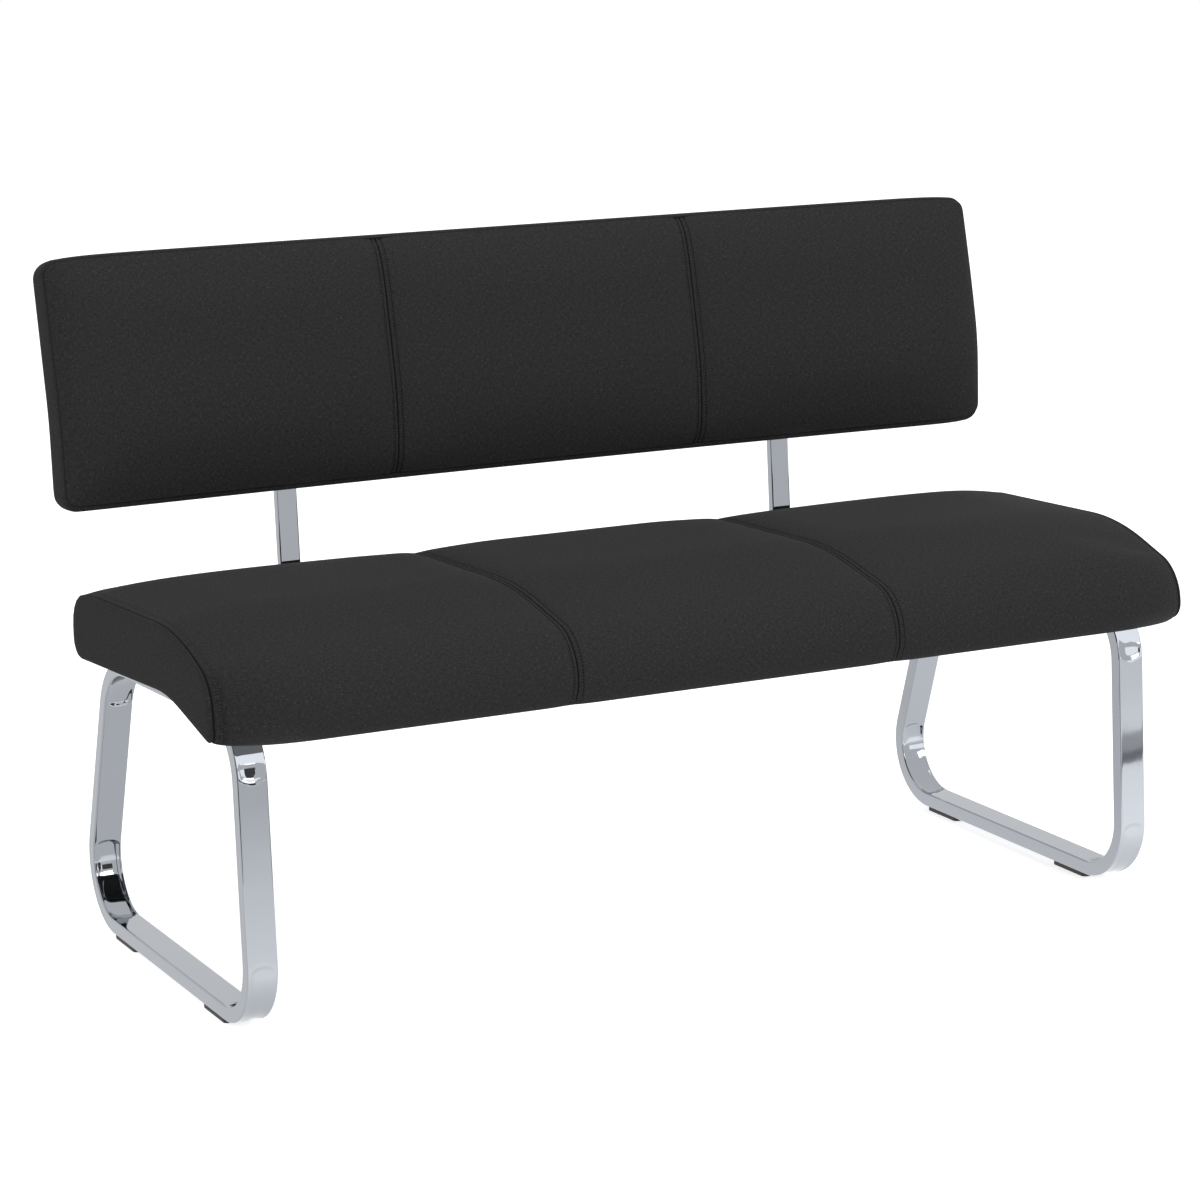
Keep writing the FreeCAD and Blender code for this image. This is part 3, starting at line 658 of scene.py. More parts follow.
# Upward parts of the normals below which the cover counts as underside: where the board holds it, where
# its seams pull less, by what share, and where the dust cover lies
UNDER_HELD, UNDER_SEAM, UNDER_RECESS = -0.75, -0.6, -0.8
UNDER_PULL = 0.3
# Rearward parts of the normals: behind the lip a row stops where the cloth faces forward, and an end row
# stays where it does
ROW_STOP, ROW_FRONT = -0.5, -0.2
# Mesh lines lie this much further apart where the padding is plain
COARSE = 1.6
# Distance before the end seam and trim of the sections that carry it, in mm
END_SEAM_TRIMS = ((END_ROW + 1, 0), (END_ROW, 0.8), (END_ROW - 1, 0), (4, 0), (2, 0.1), (1, 0.35),
                  (0.5, 0.6), (0, 1.0))
# Recess for the dust cover and the length of its slope, in mm
DUST_RECESS, DUST_SLOPE = 2.2, 6


def roll_share(half, roll, x):
    """Share of the middle section, which gives way to an end's section over the length of its roll."""
    away = max(0.0, (half - abs(x)) / roll)
    return 1 - (1 - min(1.0, away)) ** 3


def seat_point(seat, deep, high):
    return Vector((seat.front + deep * seat.depth, seat.lip + high * seat.rise))


def seat_corners(seat, x, trim):
    """Rounded corners of the seat's section at one place along the bench."""
    points = []
    radii = []
    ends = SEAT_LEFT_END if x < 0 else SEAT_RIGHT_END
    for i, (end, middle) in enumerate(zip(ends, SEAT_MIDDLE)):
        share = roll_share(seat.half_length, UNDER_ROLL if i in SEAT_UNDERSIDE else seat.end_roll, x)
        mix = [a + (b - a) * share for a, b in zip(end, middle)]
        points.append(seat_point(seat, mix[0], mix[1]))
        radii.append(mix[2] * seat.rise)
    if trim:
        points, radii = inset(points, radii, trim)
    return outline_corners(points, radii)


def seat_stations(seat, spacing):
    """Places of the seat's sections from the middle to one end, with how far each is trimmed."""
    half = seat.half_length
    band = SEAM_OFFSETS[-1] * MM
    end = half - END_ROW * MM
    places = spread(0, seat.seam - band, math.ceil((seat.seam - band) / (spacing * COARSE)))[:-1]
    places += seam_lines(seat.seam)
    places += spread(seat.seam + band, end, math.ceil((end - seat.seam - band) / spacing))[1:-1]
    stations = [(x, 0) for x in places]
    for away, trim in END_SEAM_TRIMS:
        stations.append((half - away * MM, trim * MM))
    return stations


def seat_end_steps(seat):
    """Sections of the domed end piece: place past the seam, trim, and share of the way to its spine."""
    dome = seat.end_dome
    return [(0.5 * MM, 0.7 * MM, 0), (1.0 * MM, 0.35 * MM, 0), (1.8 * MM, 0, 0), (0.45 * dome, 0.2 * MM, 0),
            (0.62 * dome, 1.0 * MM, 0), (0.77 * dome, 2.4 * MM, 0), (0.88 * dome, 4 * MM, 0.02),
            (0.94 * dome, 4 * MM, 0.12), (0.98 * dome, 4 * MM, 0.3), (dome, 4 * MM, 0.6), (dome, 4 * MM, 1.0)]


def build_seat(seat, covers):
    half = seat.half_length
    counts = outline_counts(seat_corners(seat, 0, 0), covers.spacing)
    anchor = sum(sum(pair) for pair in counts[:FRONT]) + counts[FRONT][0] // 2
    under_front, row_top = seat_point(seat, LIP_DEPTH, END_ROW_TOP)
    bm = bmesh.new()
    across, along, shade = cloth_layers(bm)
    spine_front, spine_rear = seat_point(seat, *SPINE_FRONT), seat_point(seat, *SPINE_REAR)
    number, ring, edges = numbered_ring(bm, sum(sum(pair) for pair in counts))

    def to_spine(point):
        run = spine_rear - spine_front
        share = max(0.0, min(1.0, (point - spine_front).dot(run) / run.length_squared))
        return spine_front + run * share

    def set_ring(verts, x, outline, cap):
        lengths = [0.0]
        for a, b in zip(outline, outline[1:]):
            lengths.append(lengths[-1] + (b - a).length)
        for vert in verts:
            point = outline[vert[number]]
            # Painted shade along the end seam and, on the front below the row's top, along the end row of
            # stitches
            vert[shade] = bell(abs(x) - half, END_SEAM_WIDTH * MM)
            if point.y < row_top and point.x < under_front and not cap:
                row = abs(x) - half + END_ROW * MM
                vert[shade] = max(vert[shade], END_ROW_SHADE * bell(row, END_SEAM_WIDTH * MM))
            vert.co = (x, point.x, point.y)
            if cap:
                vert[across] = math.copysign(half, x) + point.x
                vert[along] = point.y
            else:
                vert[across] = x
                vert[along] = lengths[vert[number]] - lengths[anchor]

    stations = seat_stations(seat, covers.spacing)
    sections = [(-x, trim, False, 0) for x, trim in reversed(stations[1:])]
    sections += [(x, trim, False, 0) for x, trim in stations]
    ends = [(half + x, trim, True, pull) for x, trim, pull in seat_end_steps(seat)]
    sections = [(-x, t, c, p) for x, t, c, p in reversed(ends)] + sections + ends
    for i, (x, trim, cap, pull) in enumerate(sections):
        if i:
            ring, edges = grow_ring(bm, edges)
        outline = outline_points(seat_corners(seat, x, trim), counts)
        outline = [p.lerp(to_spine(p), pull) for p in outline]
        set_ring(ring, x, outline, cap)
    tips = [v for v in bm.verts if abs(v.co.x) > half + seat.end_dome - 0.01 * MM]
    bmesh.ops.remove_doubles(bm, verts=tips, dist=0.05 * MM)
    bmesh.ops.recalc_face_normals(bm, faces=bm.faces[:])
    bm.normal_update()
    bm.verts.index_update()
    held = []
    for vert in bm.verts:
        x = abs(vert[across])
        under = vert.co.z < seat.lip + UNDERSIDE_TOP * seat.rise and vert.normal.z < UNDER_HELD
        at_end = abs(vert.co.x) > half - (END_ROW + 1.5) * MM
        if under or at_end or abs(x - seat.seam) < SEAM_HOLD * MM:
            held.append(vert.index)
    swell(bm, held, seat.swell, covers.frames)
    bm.normal_update()

    def pulled(vert):
        if abs(vert.co.x) >= half - SEAT_REACH * MM:
            return 0
        return 1 if vert.normal.z > UNDER_SEAM else UNDER_PULL

    pull_seams(bm, (across, along, shade), covers, seat.seam, SEAT_REACH * MM, 10, pulled)
    low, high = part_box("seat_dust_cover")
    for vert in bm.verts:
        inside = min(high.x - abs(vert.co.x), vert.co.y - low.y, high.y - vert.co.y)
        if inside > 0 and vert.normal.z < UNDER_RECESS:
            vert.co.z += DUST_RECESS * MM * min(1.0, inside / (DUST_SLOPE * MM))
    bm.normal_update()
    paths = seam_paths(bm, across, along, covers, seat.seam,
                       lambda v: v.normal.z > UNDER_HELD and (v.co.y < under_front or v.normal.y > ROW_STOP))
    for side in LEFT_RIGHT:
        paths.append(row_path(bm, across, along, side * (half - END_ROW * MM),
                              lambda v: v.co.z < row_top and v.co.y < under_front and v.normal.y < ROW_FRONT))
    return bm, across, along, paths


class BENCH_OT_seat_cushion(bpy.types.Operator):
    """Build the padded seat with its panel seams and end pieces"""
    bl_idname = "bench.seat_cushion"
    bl_label = "Seat Cushion"

    def execute(self, context):
        covers = context.scene.bench_covers
        bm, across, along, paths = build_seat(context.scene.bench_seat, covers)
        write_cloth_map(bm, across, along)
        cushion = piece_from(bm, "seat_cushion", woven_cloth(covers))
        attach(cushion, BODY)
        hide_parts(*SEAT_COVERS)
        sew("seat_stitching", paths, covers)
        return {"FINISHED"}


# Back cushion, in mm: bulge of the boxing strip below, above and at the ends
BACK_LOW_TRIM, BACK_TOP_TRIM, BACK_END_TRIM = 7.5, 4.5, 2.0
# Bow of the lower edge, shift of both ends to the right, and bow of the right end
BACK_LOW_BOW, BACK_END_SHIFT, BACK_RIGHT_BOW = 3.0, 2.5, 3.0
# Close to an end, and over what length: drooping top, rounder lower right corner, left seam set back
BACK_END_DROOP, DROOP_LENGTH = 6.0, 32
BACK_RIGHT_LIFT, LIFT_LENGTH = 7.0, 18
BACK_LEFT_FALL, FALL_LENGTH = 16.0, 20
# Length over which the front fills out from the upper and lower seams, and half of the bend in the rear
FILL_LENGTH = 20
BEND_EASING = 30
# Sections of the boxing strip from the front seam to the rear one: share of the way, and share of its bulge
BOXING_STEPS = [(0.0, -1.8), (0.012, 0.0), (0.035, 0.35), (0.09, 0.72), (0.18, 0.94), (0.3, 1.0), (0.5, 1.0),
                (0.7, 0.95), (0.84, 0.75), (0.93, 0.42), (0.98, 0.0), (1.0, -1.8)]
# Painted shade along the rims where the boxing strip is sewn to the front and rear panels
RIM_SHADE = 0.9
# Lines in a rounded corner, and how much closer they lie towards its edge
CORNER_LINES, CORNER_CLOSING = 6, 1.4
FRONT_PANEL, BOXING, REAR_PANEL = 0, 1, 2


def back_ways(back):
    """Directions up the rear face below and above its bend."""
    return Vector((back.low_lean, 1)).normalized(), Vector((back.high_lean, 1)).normalized()


def back_curve(back, travel):
    """Point and forward direction of the rear face, this far up it."""
    low_way, high_way = back_ways(back)
    start = Vector((back.rear, back.low))
    low_run = (back.kink - back.low) / low_way.y
    easing = BEND_EASING * MM
    share = max(0.0, min(1.0, (travel - low_run + easing) / (2 * easing)))
    way = low_way.lerp(high_way, share).normalized()
    if travel <= low_run - easing:
        point = start + low_way * travel
    elif travel >= low_run + easing:
        point = start + low_way * low_run + high_way * (travel - low_run)
    else:
        edge = start + low_way * (low_run - easing)
        part = travel - (low_run - easing)
        point = edge + low_way * part + (high_way - low_way) * (part * part / (4 * easing))
    return point, Vector((-way.y, way.x))


def back_travel(back):
    """Length of the rear face from its lower to its upper edge."""
    low_way, high_way = back_ways(back)
    return (back.kink - back.low) / low_way.y + (back.top - back.kink) / high_way.y


def back_place(back, x, travel, depth):
    """Point of the back at a place along the bench, up the rear face and in front of it."""
    point, forward = back_curve(back, travel)
    spot = point + forward * depth
    out = x / back.half_length
    shift = BACK_END_SHIFT * out ** 2
    if out > 0:
        up = max(0.0, min(1.0, travel / back_travel(back)))
        shift += BACK_RIGHT_BOW * out ** 4 * math.sin(math.pi * up)
    return Vector((x + shift * MM, spot.x, spot.y))


def back_edge(back, x, travel):
    """Depth of the front seam, which falls back a little at the left end."""
    fall = BACK_LEFT_FALL * (0.5 + 0.5 * travel / back_travel(back))
    return back.edge_depth - fall * MM * math.exp(-(back.half_length + x) / (FALL_LENGTH * MM))


def back_fullness(back, half, x, travel, tall):
    """How far the padding stands in front of the front seam."""
    rise = max(0.0, min(travel, tall - travel))
    inward = max(0.0, half - abs(x))
    fill = 1 - math.exp(-rise / (FILL_LENGTH * MM))
    return back.dome * fill * (1 - math.exp(-inward / back.end_roll))


def round_square(x, s, half, low, high, radius):
    """Moves a point of a rectangle's corner square onto the rounded corner."""
    inner = half - radius
    a = max(0.0, (abs(x) - inner) / radius)
    b = max(0.0, (s - high + radius) / radius, (low + radius - s) / radius)
    if a <= 0 or b <= 0:
        return x, s
    over = s > (low + high) / 2
    new_a = a * math.sqrt(1 - b * b / 2)
    new_b = b * math.sqrt(1 - a * a / 2)
    new_s = high - radius + new_b * radius if over else low + radius - new_b * radius
    return math.copysign(inner + new_a * radius, x), new_s


def back_lines(back, covers, half, low, high):
    """Places of the grid lines along and up the back, closer in the rounded corners."""
    step = covers.spacing * COARSE
    inner = half - back.corner
    band = SEAM_OFFSETS[-1] * MM
    side = spread(0, back.seam - band, math.ceil((back.seam - band) / step))[:-1]
    side += seam_lines(back.seam)
    side += spread(back.seam + band, inner, math.ceil((inner - back.seam - band) / step))[1:]
    close = [back.corner * (1 - i / CORNER_LINES) ** CORNER_CLOSING for i in range(CORNER_LINES + 1)]
    side += [half - gap for gap in close[1:]]
    xs = [-x for x in reversed(side[1:])] + side
    ss = [low + gap for gap in reversed(close)]
    straight = high - low - 2 * back.corner
    ss += spread(low + back.corner, high - back.corner, math.ceil(straight / covers.spacing))[1:]
    ss += [high - gap for gap in close[1:]]
    return xs, ss


def build_back(back, covers):
    tall = back_travel(back)
    half = back.half_length
    low = BACK_LOW_TRIM * MM
    high = tall - BACK_TOP_TRIM * MM
    xs, ss = back_lines(back, covers, half, low, high)

    def bowed(s, x):
        lift = BACK_LOW_BOW * MM * (1 - (x / half) ** 2)
        droop = BACK_END_DROOP * MM * math.exp(-max(0.0, half - abs(x)) / (DROOP_LENGTH * MM))
        round_off = BACK_RIGHT_LIFT * MM * math.exp(-max(0.0, half - x) / (LIFT_LENGTH * MM))
        below = max(0.0, 1 - s / tall)
        return s + lift * below + round_off * below ** 3 - droop * max(0.0, s / tall) ** 3

    bm = bmesh.new()
    across, along, shade = cloth_layers(bm)
    zone = bm.verts.layers.int.new("zone")
    panels = []
    for front in (True, False):
        grid = bmesh.ops.create_grid(bm, x_segments=len(xs) - 1, y_segments=len(ss) - 1, size=1)["verts"]
        for vert in grid:
            x = xs[round((vert.co.x + 1) / 2 * (len(xs) - 1))]
            s = ss[round((vert.co.y + 1) / 2 * (len(ss) - 1))]
            x, s = round_square(x, s, half, low, high, back.corner)
            depth = 0.0
            if front:
                depth = back_edge(back, x, s) + back_fullness(back, half, x, s - low, high - low)
            vert.co = back_place(back, x, bowed(s, x), depth)
            vert[across] = x
            vert[along] = s
            vert[zone] = FRONT_PANEL if front else REAR_PANEL
        panels.append(grid)
    rims = []
    for grid in panels:
        members = set(grid)
        rims.append([e for e in bm.edges if e.is_boundary and e.verts[0] in members])
        # Painted shade along each panel's rim, where the boxing strip is sewn on
        for edge in rims[-1]:
            for vert in edge.verts:
                vert[shade] = RIM_SHADE
    edges = rims[0]
    centre_s = (low + high) / 2
    for share, bulge in BOXING_STEPS:
        ring, edges = grow_ring(bm, edges)
        for vert in ring:
            vert[zone] = BOXING
            # Painted shade down in the grooves where the boxing strip meets the panels
            vert[shade] = 1.0 if bulge < 0 else 0.0
            x, s = vert[across], vert[along]
            core_x = max(-half + back.corner, min(half - back.corner, x))
            core_s = max(low + back.corner, min(high - back.corner, s))
            out = Vector((x - core_x, s - core_s)).normalized()
            room = BACK_END_TRIM * abs(out.x)
            room += (BACK_TOP_TRIM if s > centre_s else BACK_LOW_TRIM) * abs(out.y)
            reach = (bulge * room if bulge >= 0 else bulge) * MM
            depth = back_edge(back, x, s) * (1 - share)
            vert.co = back_place(back, x + out.x * reach, bowed(s + out.y * reach, x), depth)
    bmesh.ops.bridge_loops(bm, edges=edges + rims[1])
    for vert in bm.verts:
        if vert[zone] == BOXING:
            around = vert[across] + vert[along]
            vert[along] = vert.co.y
            vert[across] = around
    bmesh.ops.recalc_face_normals(bm, faces=bm.faces[:])
    bm.normal_update()
    bm.verts.index_update()
    held = []
    for vert in bm.verts:
        on_rim = any(e.other_vert(vert)[zone] == BOXING for e in vert.link_edges)
        sewn = abs(abs(vert.co.x) - back.seam) < SEAM_HOLD * MM
        if vert[zone] != FRONT_PANEL or on_rim or sewn:
            held.append(vert.index)
    swell(bm, held, back.swell, covers.frames)
    bm.normal_update()

    def in_front(vert):
        return vert[zone] == FRONT_PANEL

    pull_seams(bm, (across, along, shade), covers, back.seam, BACK_REACH * MM, 20, in_front)
    bm.normal_update()
    paths = seam_paths(bm, across, along, covers, back.seam, in_front)
    return bm, across, along, paths


class BENCH_OT_back_cushion(bpy.types.Operator):
    """Build the padded back with its boxing strip, panel seams and rear panel"""
    bl_idname = "bench.back_cushion"
    bl_label = "Back Cushion"

    def execute(self, context):
        covers = context.scene.bench_covers
        bm, across, along, paths = build_back(context.scene.bench_back, covers)
        write_cloth_map(bm, across, along)
        cushion = piece_from(bm, "back_cushion", woven_cloth(covers))
        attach(cushion, BODY)
        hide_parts(*BACK_COVERS)
        sew("back_stitching", paths, covers)
        return {"FINISHED"}


# Dust cover, in mm: drop below the board, slack between its edges, and thickness
DUST_DROP, DUST_SLACK, DUST_THICKNESS = 0.8, 0.7, 0.6
# Mesh steps and waves of the slack along and across the sheet, and how soon the slack starts from an edge
DUST_STEPS = (120, 34)
SLACK_WAVES = (26, 8)
SLACK_START = 12


class BENCH_OT_dust_cover(bpy.types.Operator):
    """Build the nonwoven sheet that closes the underside of the seat"""
    bl_idname = "bench.dust_cover"
    bl_label = "Dust Cover"

    def execute(self, context):
        low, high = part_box("seat_dust_cover")
        bm = bmesh.new()
        grid = bmesh.ops.create_grid(bm, x_segments=DUST_STEPS[0], y_segments=DUST_STEPS[1], size=0.5)
        for vert in grid["verts"]:
            x, y = vert.co.x, vert.co.y
            edge = min(0.5 - abs(x), 0.5 - abs(y))
            wave = noise.noise(Vector((x * SLACK_WAVES[0], y * SLACK_WAVES[1], 3)))
            slack = wave * DUST_SLACK * MM * min(1.0, edge * SLACK_START)
            z = high.z + (low.z - high.z) * (y + 0.5) - DUST_DROP * MM - slack
            vert.co = (x * (high.x - low.x), low.y + (y + 0.5) * (high.y - low.y), z)
        sheet = piece_from(bm, "dust_cover", spunbond())
        wall = sheet.modifiers.new("Solidify", "SOLIDIFY")
        wall.thickness = DUST_THICKNESS * MM
        wall.offset = 0
        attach(sheet, BODY)
        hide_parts("seat_dust_cover")
        return {"FINISHED"}


# Leg loops
def meet(p, way_p, q, way_q):
    """Point where two lines cross."""
    gap = q - p
    return p + way_p * ((gap.x * way_q.y - gap.y * way_q.x) / (way_p.x * way_q.y - way_p.y * way_q.x))


def leg_corners(leg, seat):
    """Rounded corners of a loop's outer outline; its top lies along the underside of the seat."""
    hollow, under_rear = [seat_point(seat, *SEAT_MIDDLE[i][:2]) for i in (HOLLOW, UNDER_REAR)]
    front = Vector((leg.middle - leg.base / 2, leg.lift))
    rear = Vector((leg.middle + leg.base / 2, leg.lift))
    top = under_rear - hollow
    points = [front, rear, meet(rear, Vector((-leg.rear_lean, 1)), hollow, top),
              meet(front, Vector((leg.front_lean, 1)), hollow, top)]
    return outline_corners(points, [leg.lower_bend, leg.lower_bend, leg.rear_bend, leg.front_bend])


BEND_STEPS = 48
STRAIGHT_PLACES = (0.02, 0.5, 0.98)
# Hollow of a bend, in mm: length of its rim, length over which its floor rises, and flat strip beside it
RIM_LENGTH, FLOOR_LENGTH, RIM_STRIP = 7, 70, 0.8
# How far the rim arches, and the least share of the hollow's depth
RIM_ARCH, FLOOR_LEAST = 0.9, 0.5
# Mesh steps of the tube's section: a rounded edge, then a wide or a narrow side
TUBE_STEPS = [(5, 18), (5, 4), (5, 18), (5, 4)]


def leg_stations(corners):
    """Points round a loop, each with its inward direction and how far inside a bend it lies."""
    stations = []
    for i, (start, end, centre) in enumerate(corners):
        arc = (start - centre).length * (start - centre).angle(end - centre)
        for j, spot in enumerate(list(arc_points(start, end, centre, BEND_STEPS)) + [end]):
            inside = arc * min(j, BEND_STEPS - j) / BEND_STEPS
            stations.append((spot, (centre - spot).normalized(), inside))
        run = corners[(i + 1) % len(corners)][0] - end
        for part in STRAIGHT_PLACES:
            stations.append((end + run * part, (centre - end).normalized(), 0))
    return stations


def pressed(inside, across):
    """Share of a bend's hollow: an arched rim, steep walls and a floor that rises to the bend's middle."""
    rim = max(0.0, min(1.0, inside / (RIM_LENGTH * MM) - RIM_ARCH * across ** 2))
    floor = max(FLOOR_LEAST, 1 - inside / (FLOOR_LENGTH * MM))
    return rim * rim * (3 - 2 * rim) * floor * max(0.0, 1 - across ** 4)


def build_leg(leg, seat, side):
    half = leg.width / 2
    sides = [Vector(p) for p in ((-half, 0), (half, 0), (half, leg.depth), (-half, leg.depth))]
    section = outline_points(outline_corners(sides, [leg.edge] * 4), TUBE_STEPS)
    dished = half - leg.edge - RIM_STRIP * MM
    bm = bmesh.new()
    number, ring, edges = numbered_ring(bm, len(section))
    first = edges
    for i, (spot, inward, inside) in enumerate(leg_stations(leg_corners(leg, seat))):
        if i:
            ring, edges = grow_ring(bm, edges)
        for vert in ring:
            wide, deep = section[vert[number]]
            press = pressed(inside, wide / dished)
            deep += leg.sink * press if deep < leg.depth / 2 else -leg.dish * press
            vert.co = (side * leg.spacing / 2 + wide, spot.x + inward.x * deep, spot.y + inward.y * deep)
    bmesh.ops.bridge_loops(bm, edges=first + edges)
    bmesh.ops.recalc_face_normals(bm, faces=bm.faces[:])
    return bm


class BENCH_OT_leg_loops(bpy.types.Operator):
    """Build the two bent tube leg loops with the dishes that bending presses into them"""
    bl_idname = "bench.leg_loops"
    bl_label = "Leg Loops"

    def execute(self, context):
        for side, name in zip(LEFT_RIGHT, ("left", "right")):
            bm = build_leg(context.scene.bench_legs, context.scene.bench_seat, side)
            tube = piece_from(bm, name + "_leg_tube", chrome_plate())
            tube.modifiers.new("WeightedNormal", "WEIGHTED_NORMAL")
            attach(tube, BODY)
            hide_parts(name + "_leg_loop")
        return {"FINISHED"}


class BENCH_OT_frame_finishes(bpy.types.Operator):
    """Give the tubes, glides, boards and fasteners their finishes"""
    bl_idname = "bench.frame_finishes"
    bl_label = "Frame Finishes"

    def execute(self, context):
        dress(("left_back_support", "right_back_support"), chrome_plate())
        dress([end + "_" + side + "_glide" for end in ("front", "rear") for side in ("left", "right")],
              moulded_polypropylene())
        dress(("leg_bolts", "support_bolts", "washers", "rail_nuts", "back_screws", "back_sleeves"),
              zinc_plate())
        dress(("front_seat_rail", "rear_seat_rail"), powder_coat())
        dress(("seat_board", "back_board"), birch_plywood())
        return {"FINISHED"}


# Studio
CAMERA_PLACE = (-2.1459, -4.2069, 1.4404)
# Floor: its own glow for the camera; for the chrome, a painted pool of light in front of the legs and painted
# brighter light on the right
FLOOR_GLOW = 0.62
POOL_FRONT, POOL_REAR, POOL_LIGHT = (-1.9, -0.5), (-0.2, -0.4), 0.6
RIGHT_RISE, RIGHT_LIGHT = (0.3, 1.0), 1.35
# Strength of the room's light on the bench; the camera and the chrome see plain white
ROOM_LIGHT = 0.80
# Lamps: name, place, aim, size, power
LAMPS = [
    ("key", (1.9, -4.1, 2.3), (0, 0, 0.4), (2.4, 1.2), 41),
    ("fill", (-3.0, -2.2, 1.6), (0, 0, 0.5), (1.0, 1.4), 10),
    ("top", (0, -0.4, 3.2), (0, 0, 0.4), (2.2, 1.0), 19),
]
# Glowing cards that only the chrome sees, painted reflections that draw its edges: name, kind, place, size,
# turn
CARD_LEVELS = {"dim_card": 0.1, "grey_card": 0.3, "pale_card": 0.7, "white_card": 1.0, "bright_card": 2.0}
FLAT, UPRIGHT, SIDEWAYS = (0, 0, 0), (math.pi / 2, 0, 0), (0, math.pi / 2, 0)
FRONT_CARDS = [
    ("card_right", "grey_card", (1.9, -1.17, 2 * MM), (2.4, 0.10), FLAT),
    ("card_beyond", "pale_card", (1.9, -1.31, 2 * MM), (2.4, 0.18), FLAT),
    ("card_front", "bright_card", (1.5, -2.9, 0.55), (2.6, 0.6), UPRIGHT),
    ("card_dark", "dim_card", (0.5, -2.85, 0.55), (0.6, 0.6), UPRIGHT),
]
ROOM_CARDS = [
    ("card_left", "dim_card", (-1.5, -0.95, 0.5), (1.0, 1.3), SIDEWAYS),
    ("card_middle", "dim_card", (0.1, -0.8, 0.18), (0.36, 0.6), SIDEWAYS),
    ("card_rear", "pale_card", (-0.5, 3.2, 2.6), (7.0, 2.0), UPRIGHT),
]
# Cards of painted reflection over each leg: distance to the right of the tube's middle, then depth and height
LIP_CARD, EDGE_CARD, SUPPORT_CARD = (0.015, -0.2575, 0.3785), (0.015, -0.3075, 0.3785), (0.012, 0.215, 0.53)


def soft_box(name, place, aim, size, power):
    lamp = bpy.data.lights.new(name, "AREA")
    lamp.shape = "RECTANGLE"
    lamp.size, lamp.size_y = size
    lamp.energy = power
    holder = bpy.data.objects.new(name, lamp)
    holder.location = place
    holder.rotation_euler = (Vector(aim) - Vector(place)).to_track_quat("-Z", "Y").to_euler()
    bpy.context.scene.collection.objects.link(holder)


# A glowing card that only the chrome sees: a painted reflection, dim or bright by its kind
def painted_reflection_card(name, kind, place, size, turn):
    bm = bmesh.new()
    bmesh.ops.create_grid(bm, x_segments=1, y_segments=1, size=0.5)
    bmesh.ops.scale(bm, verts=bm.verts[:], vec=(size[0], size[1], 1))
    bmesh.ops.rotate(bm, verts=bm.verts[:], matrix=Euler(turn).to_matrix())
    bmesh.ops.translate(bm, verts=bm.verts[:], vec=place)
    material, tree, shader = start_material(kind)
    if tree:
        set_inputs(shader, {"Base Color": (0, 0, 0, 1), "Specular IOR Level": 0.0,
                            "Emission Color": (1, 1, 1, 1), "Emission Strength": CARD_LEVELS[kind]})
    card = piece_from(bm, name, material)
    card.visible_camera = card.visible_diffuse = card.visible_shadow = False


def leg_cards(side, lip_kind):
    """Cards of painted reflection under the seat's lip, before it and before the back support, over one leg.
    """
    name = "card_" + side
    for end, kind, node, (x, y, z), size, turn in (
            ("_lip", lip_kind, "_leg_loop", LIP_CARD, (0.08, 0.035), FLAT),
            ("_edge", "bright_card", "_leg_loop", EDGE_CARD, (0.08, 0.065), FLAT),
            ("_support", "white_card", "_back_support", SUPPORT_CARD, (0.06, 0.14), UPRIGHT)):
        low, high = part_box(side + node)
        painted_reflection_card(name + end, kind, ((low.x + high.x) / 2 + x, y, z), size, turn)


def set_camera(stage):
    level = math.cos(stage.pitch)
    forward = Vector((math.sin(stage.yaw) * level, math.cos(stage.yaw) * level, -math.sin(stage.pitch)))
    right = Vector((math.cos(stage.yaw), -math.sin(stage.yaw), 0))
    up = right.cross(forward)
    side = right * math.cos(stage.roll) + up * math.sin(stage.roll)
    top = up * math.cos(stage.roll) - right * math.sin(stage.roll)
    camera = bpy.data.objects.new("camera", bpy.data.cameras.new("camera"))
    camera.data.lens = stage.lens
    camera.data.sensor_width = 36
    camera.data.clip_end = 60
    turn = Matrix((side, top, -forward)).transposed()
    camera.matrix_world = Matrix.Translation(CAMERA_PLACE) @ turn.to_4x4()
    bpy.context.scene.collection.objects.link(camera)
    bpy.context.scene.camera = camera


def either(tree, *rays):
    """Strongest of some kinds of ray."""
    seen = rays[0]
    for ray in rays[1:]:
        seen = add(tree, "ShaderNodeMath", {0: seen, 1: ray}, operation="MAXIMUM").outputs[0]
    return seen


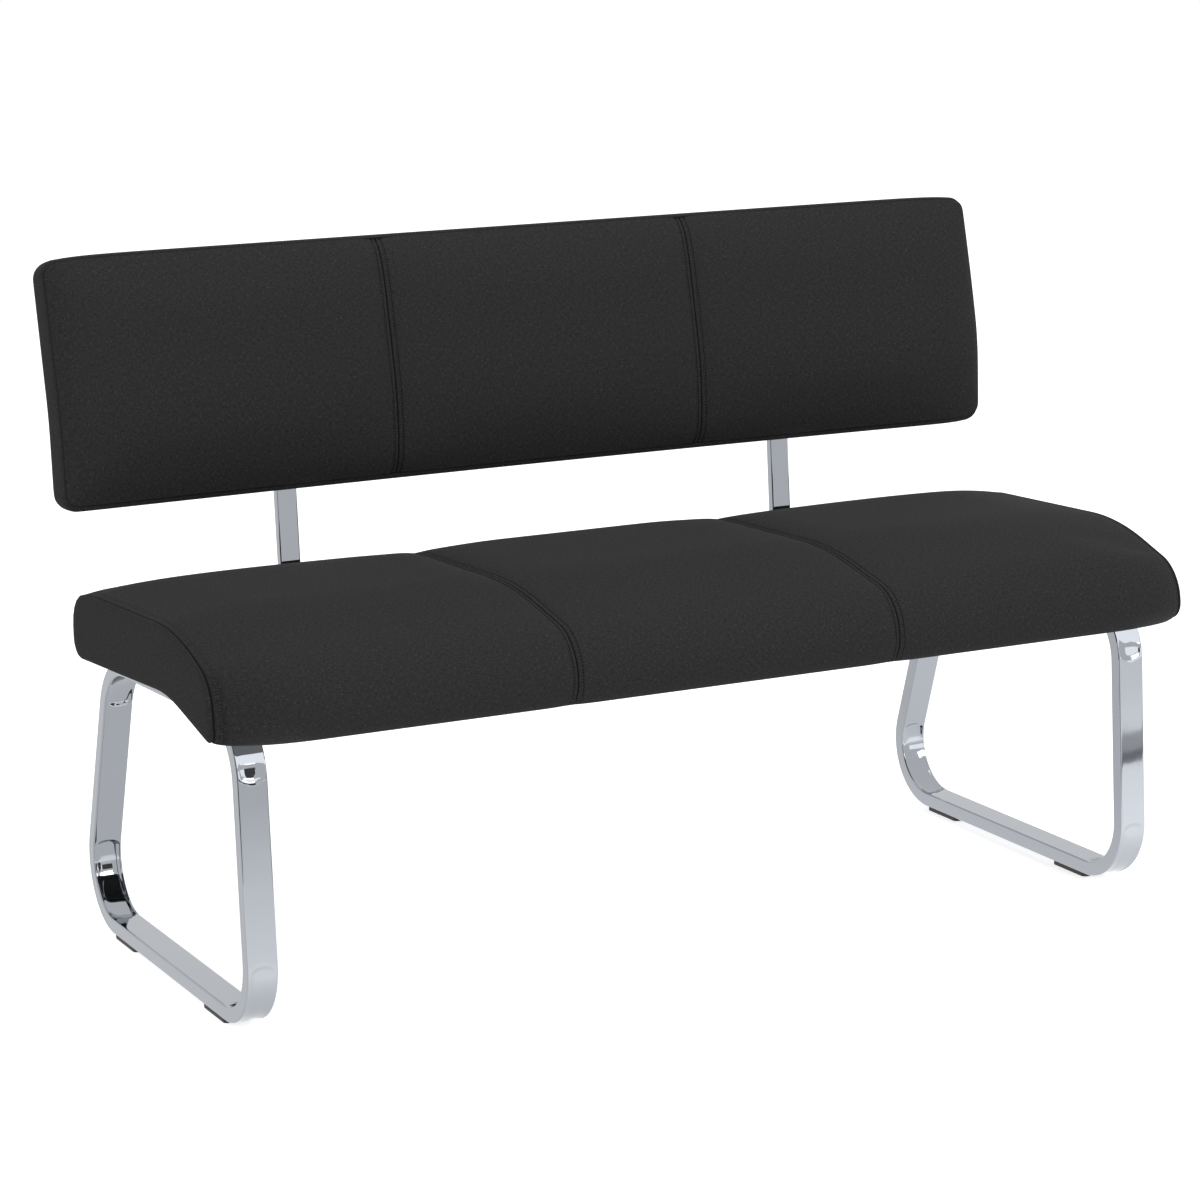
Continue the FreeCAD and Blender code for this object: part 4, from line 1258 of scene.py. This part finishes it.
# Painted studio floor: matt and pale, with the bench's shadow; the chrome sees it as a glow, with a painted
# pool of light in front of the legs and painted brighter light on the right
def lay_floor(stage):
    bm = bmesh.new()
    bmesh.ops.create_grid(bm, x_segments=8, y_segments=8, size=14)
    bmesh.ops.translate(bm, verts=bm.verts[:], vec=(0, 0, -0.5 * MM))
    material, tree, shader = start_material("pale_floor")
    set_inputs(shader, {"Base Color": linear(stage.floor_colour), "Roughness": 0.9,
                        "Specular IOR Level": 0.0, "Emission Color": (1, 1, 1, 1)})
    rays = add(tree, "ShaderNodeLightPath").outputs
    glow = add(tree, "ShaderNodeMath", {0: rays["Is Camera Ray"], 1: FLOOR_GLOW}, operation="MULTIPLY")
    tree.links.new(glow.outputs[0], shader.inputs["Emission Strength"])
    metal = either(tree, rays["Is Glossy Ray"], rays["Is Transmission Ray"])
    # The chrome sees painted light on the floor: a brighter pool in front of the legs and brighter floor on
    # the right
    place = add(tree, "ShaderNodeTexCoord").outputs["Object"]
    spot = add(tree, "ShaderNodeSeparateXYZ", {"Vector": place}).outputs
    sides = [add(tree, "ShaderNodeMapRange", {"Value": spot["Y"], "From Min": low, "From Max": high})
             for low, high in (POOL_FRONT, POOL_REAR)]
    pool = add(tree, "ShaderNodeMath", {0: sides[0].outputs[0], 1: sides[1].outputs[0]},
               operation="MULTIPLY")
    right = add(tree, "ShaderNodeMapRange", {"Value": spot["X"], "From Min": RIGHT_RISE[0],
                                             "From Max": RIGHT_RISE[1], "To Min": 1.0, "To Max": RIGHT_LIGHT})
    level = add(tree, "ShaderNodeMath", {0: pool.outputs[0], 1: POOL_LIGHT, 2: right.outputs[0]},
                operation="MULTIPLY_ADD")
    white = add(tree, "ShaderNodeEmission", {"Strength": level.outputs[0]})
    share = add(tree, "ShaderNodeMixShader", {0: metal, 1: shader.outputs[0], 2: white.outputs[0]})
    tree.links.new(share.outputs[0], tree.nodes["Material Output"].inputs["Surface"])
    floor = piece_from(bm, "floor", material)


def light_room():
    world = bpy.data.worlds.new("studio")
    world.use_nodes = True
    tree = world.node_tree
    background = tree.nodes["Background"]
    rays = add(tree, "ShaderNodeLightPath").outputs
    seen = either(tree, rays["Is Camera Ray"], rays["Is Glossy Ray"], rays["Is Transmission Ray"])
    level = add(tree, "ShaderNodeMapRange", {"Value": seen, "To Min": ROOM_LIGHT, "To Max": 1.0})
    tree.links.new(level.outputs[0], background.inputs["Strength"])
    background.inputs["Color"].default_value = (1, 1, 1, 1)
    bpy.context.scene.world = world


class BENCH_OT_stage(bpy.types.Operator):
    """Set up the pale floor, soft studio light and the camera"""
    bl_idname = "bench.stage"
    bl_label = "Stage"

    def execute(self, context):
        stage = context.scene.bench_stage
        set_camera(stage)
        lay_floor(stage)
        light_room()
        for lamp in LAMPS:
            soft_box(*lamp)
        # Glowing cards that paint reflections into the chrome
        for card in FRONT_CARDS:
            painted_reflection_card(*card)
        leg_cards("left", "grey_card")
        leg_cards("right", "bright_card")
        for card in ROOM_CARDS:
            painted_reflection_card(*card)
        context.scene.view_settings.view_transform = "Standard"
        return {"FINISHED"}


class BENCH_PT_panel(bpy.types.Panel):
    """Lists the steps that build the bench"""
    bl_idname = "BENCH_PT_panel"
    bl_label = "Dining Bench"
    bl_space_type = "VIEW_3D"
    bl_region_type = "UI"
    bl_category = "Bench"

    def draw(self, context):
        for operator in OPERATORS:
            self.layout.operator(operator.bl_idname)


OPERATORS = (BENCH_OT_stage, BENCH_OT_frame_finishes, BENCH_OT_leg_loops, BENCH_OT_seat_cushion,
             BENCH_OT_back_cushion, BENCH_OT_dust_cover)
GROUPS = {"bench_seat": SeatSettings, "bench_back": BackSettings, "bench_legs": LegSettings,
          "bench_covers": CoverSettings, "bench_stage": StageSettings}


def register():
    for group in GROUPS.values():
        bpy.utils.register_class(group)
    for name, group in GROUPS.items():
        setattr(bpy.types.Scene, name, PointerProperty(type=group))
    for operator in OPERATORS:
        bpy.utils.register_class(operator)
    bpy.utils.register_class(BENCH_PT_panel)


def unregister():
    bpy.utils.unregister_class(BENCH_PT_panel)
    for operator in reversed(OPERATORS):
        bpy.utils.unregister_class(operator)
    for name, group in GROUPS.items():
        delattr(bpy.types.Scene, name)
        bpy.utils.unregister_class(group)


def main():
    register()
    bpy.ops.bench.stage()
    bpy.ops.bench.frame_finishes()
    bpy.ops.bench.leg_loops()
    bpy.ops.bench.seat_cushion()
    bpy.ops.bench.back_cushion()
    bpy.ops.bench.dust_cover()


if __name__ == "__main__":
    main()
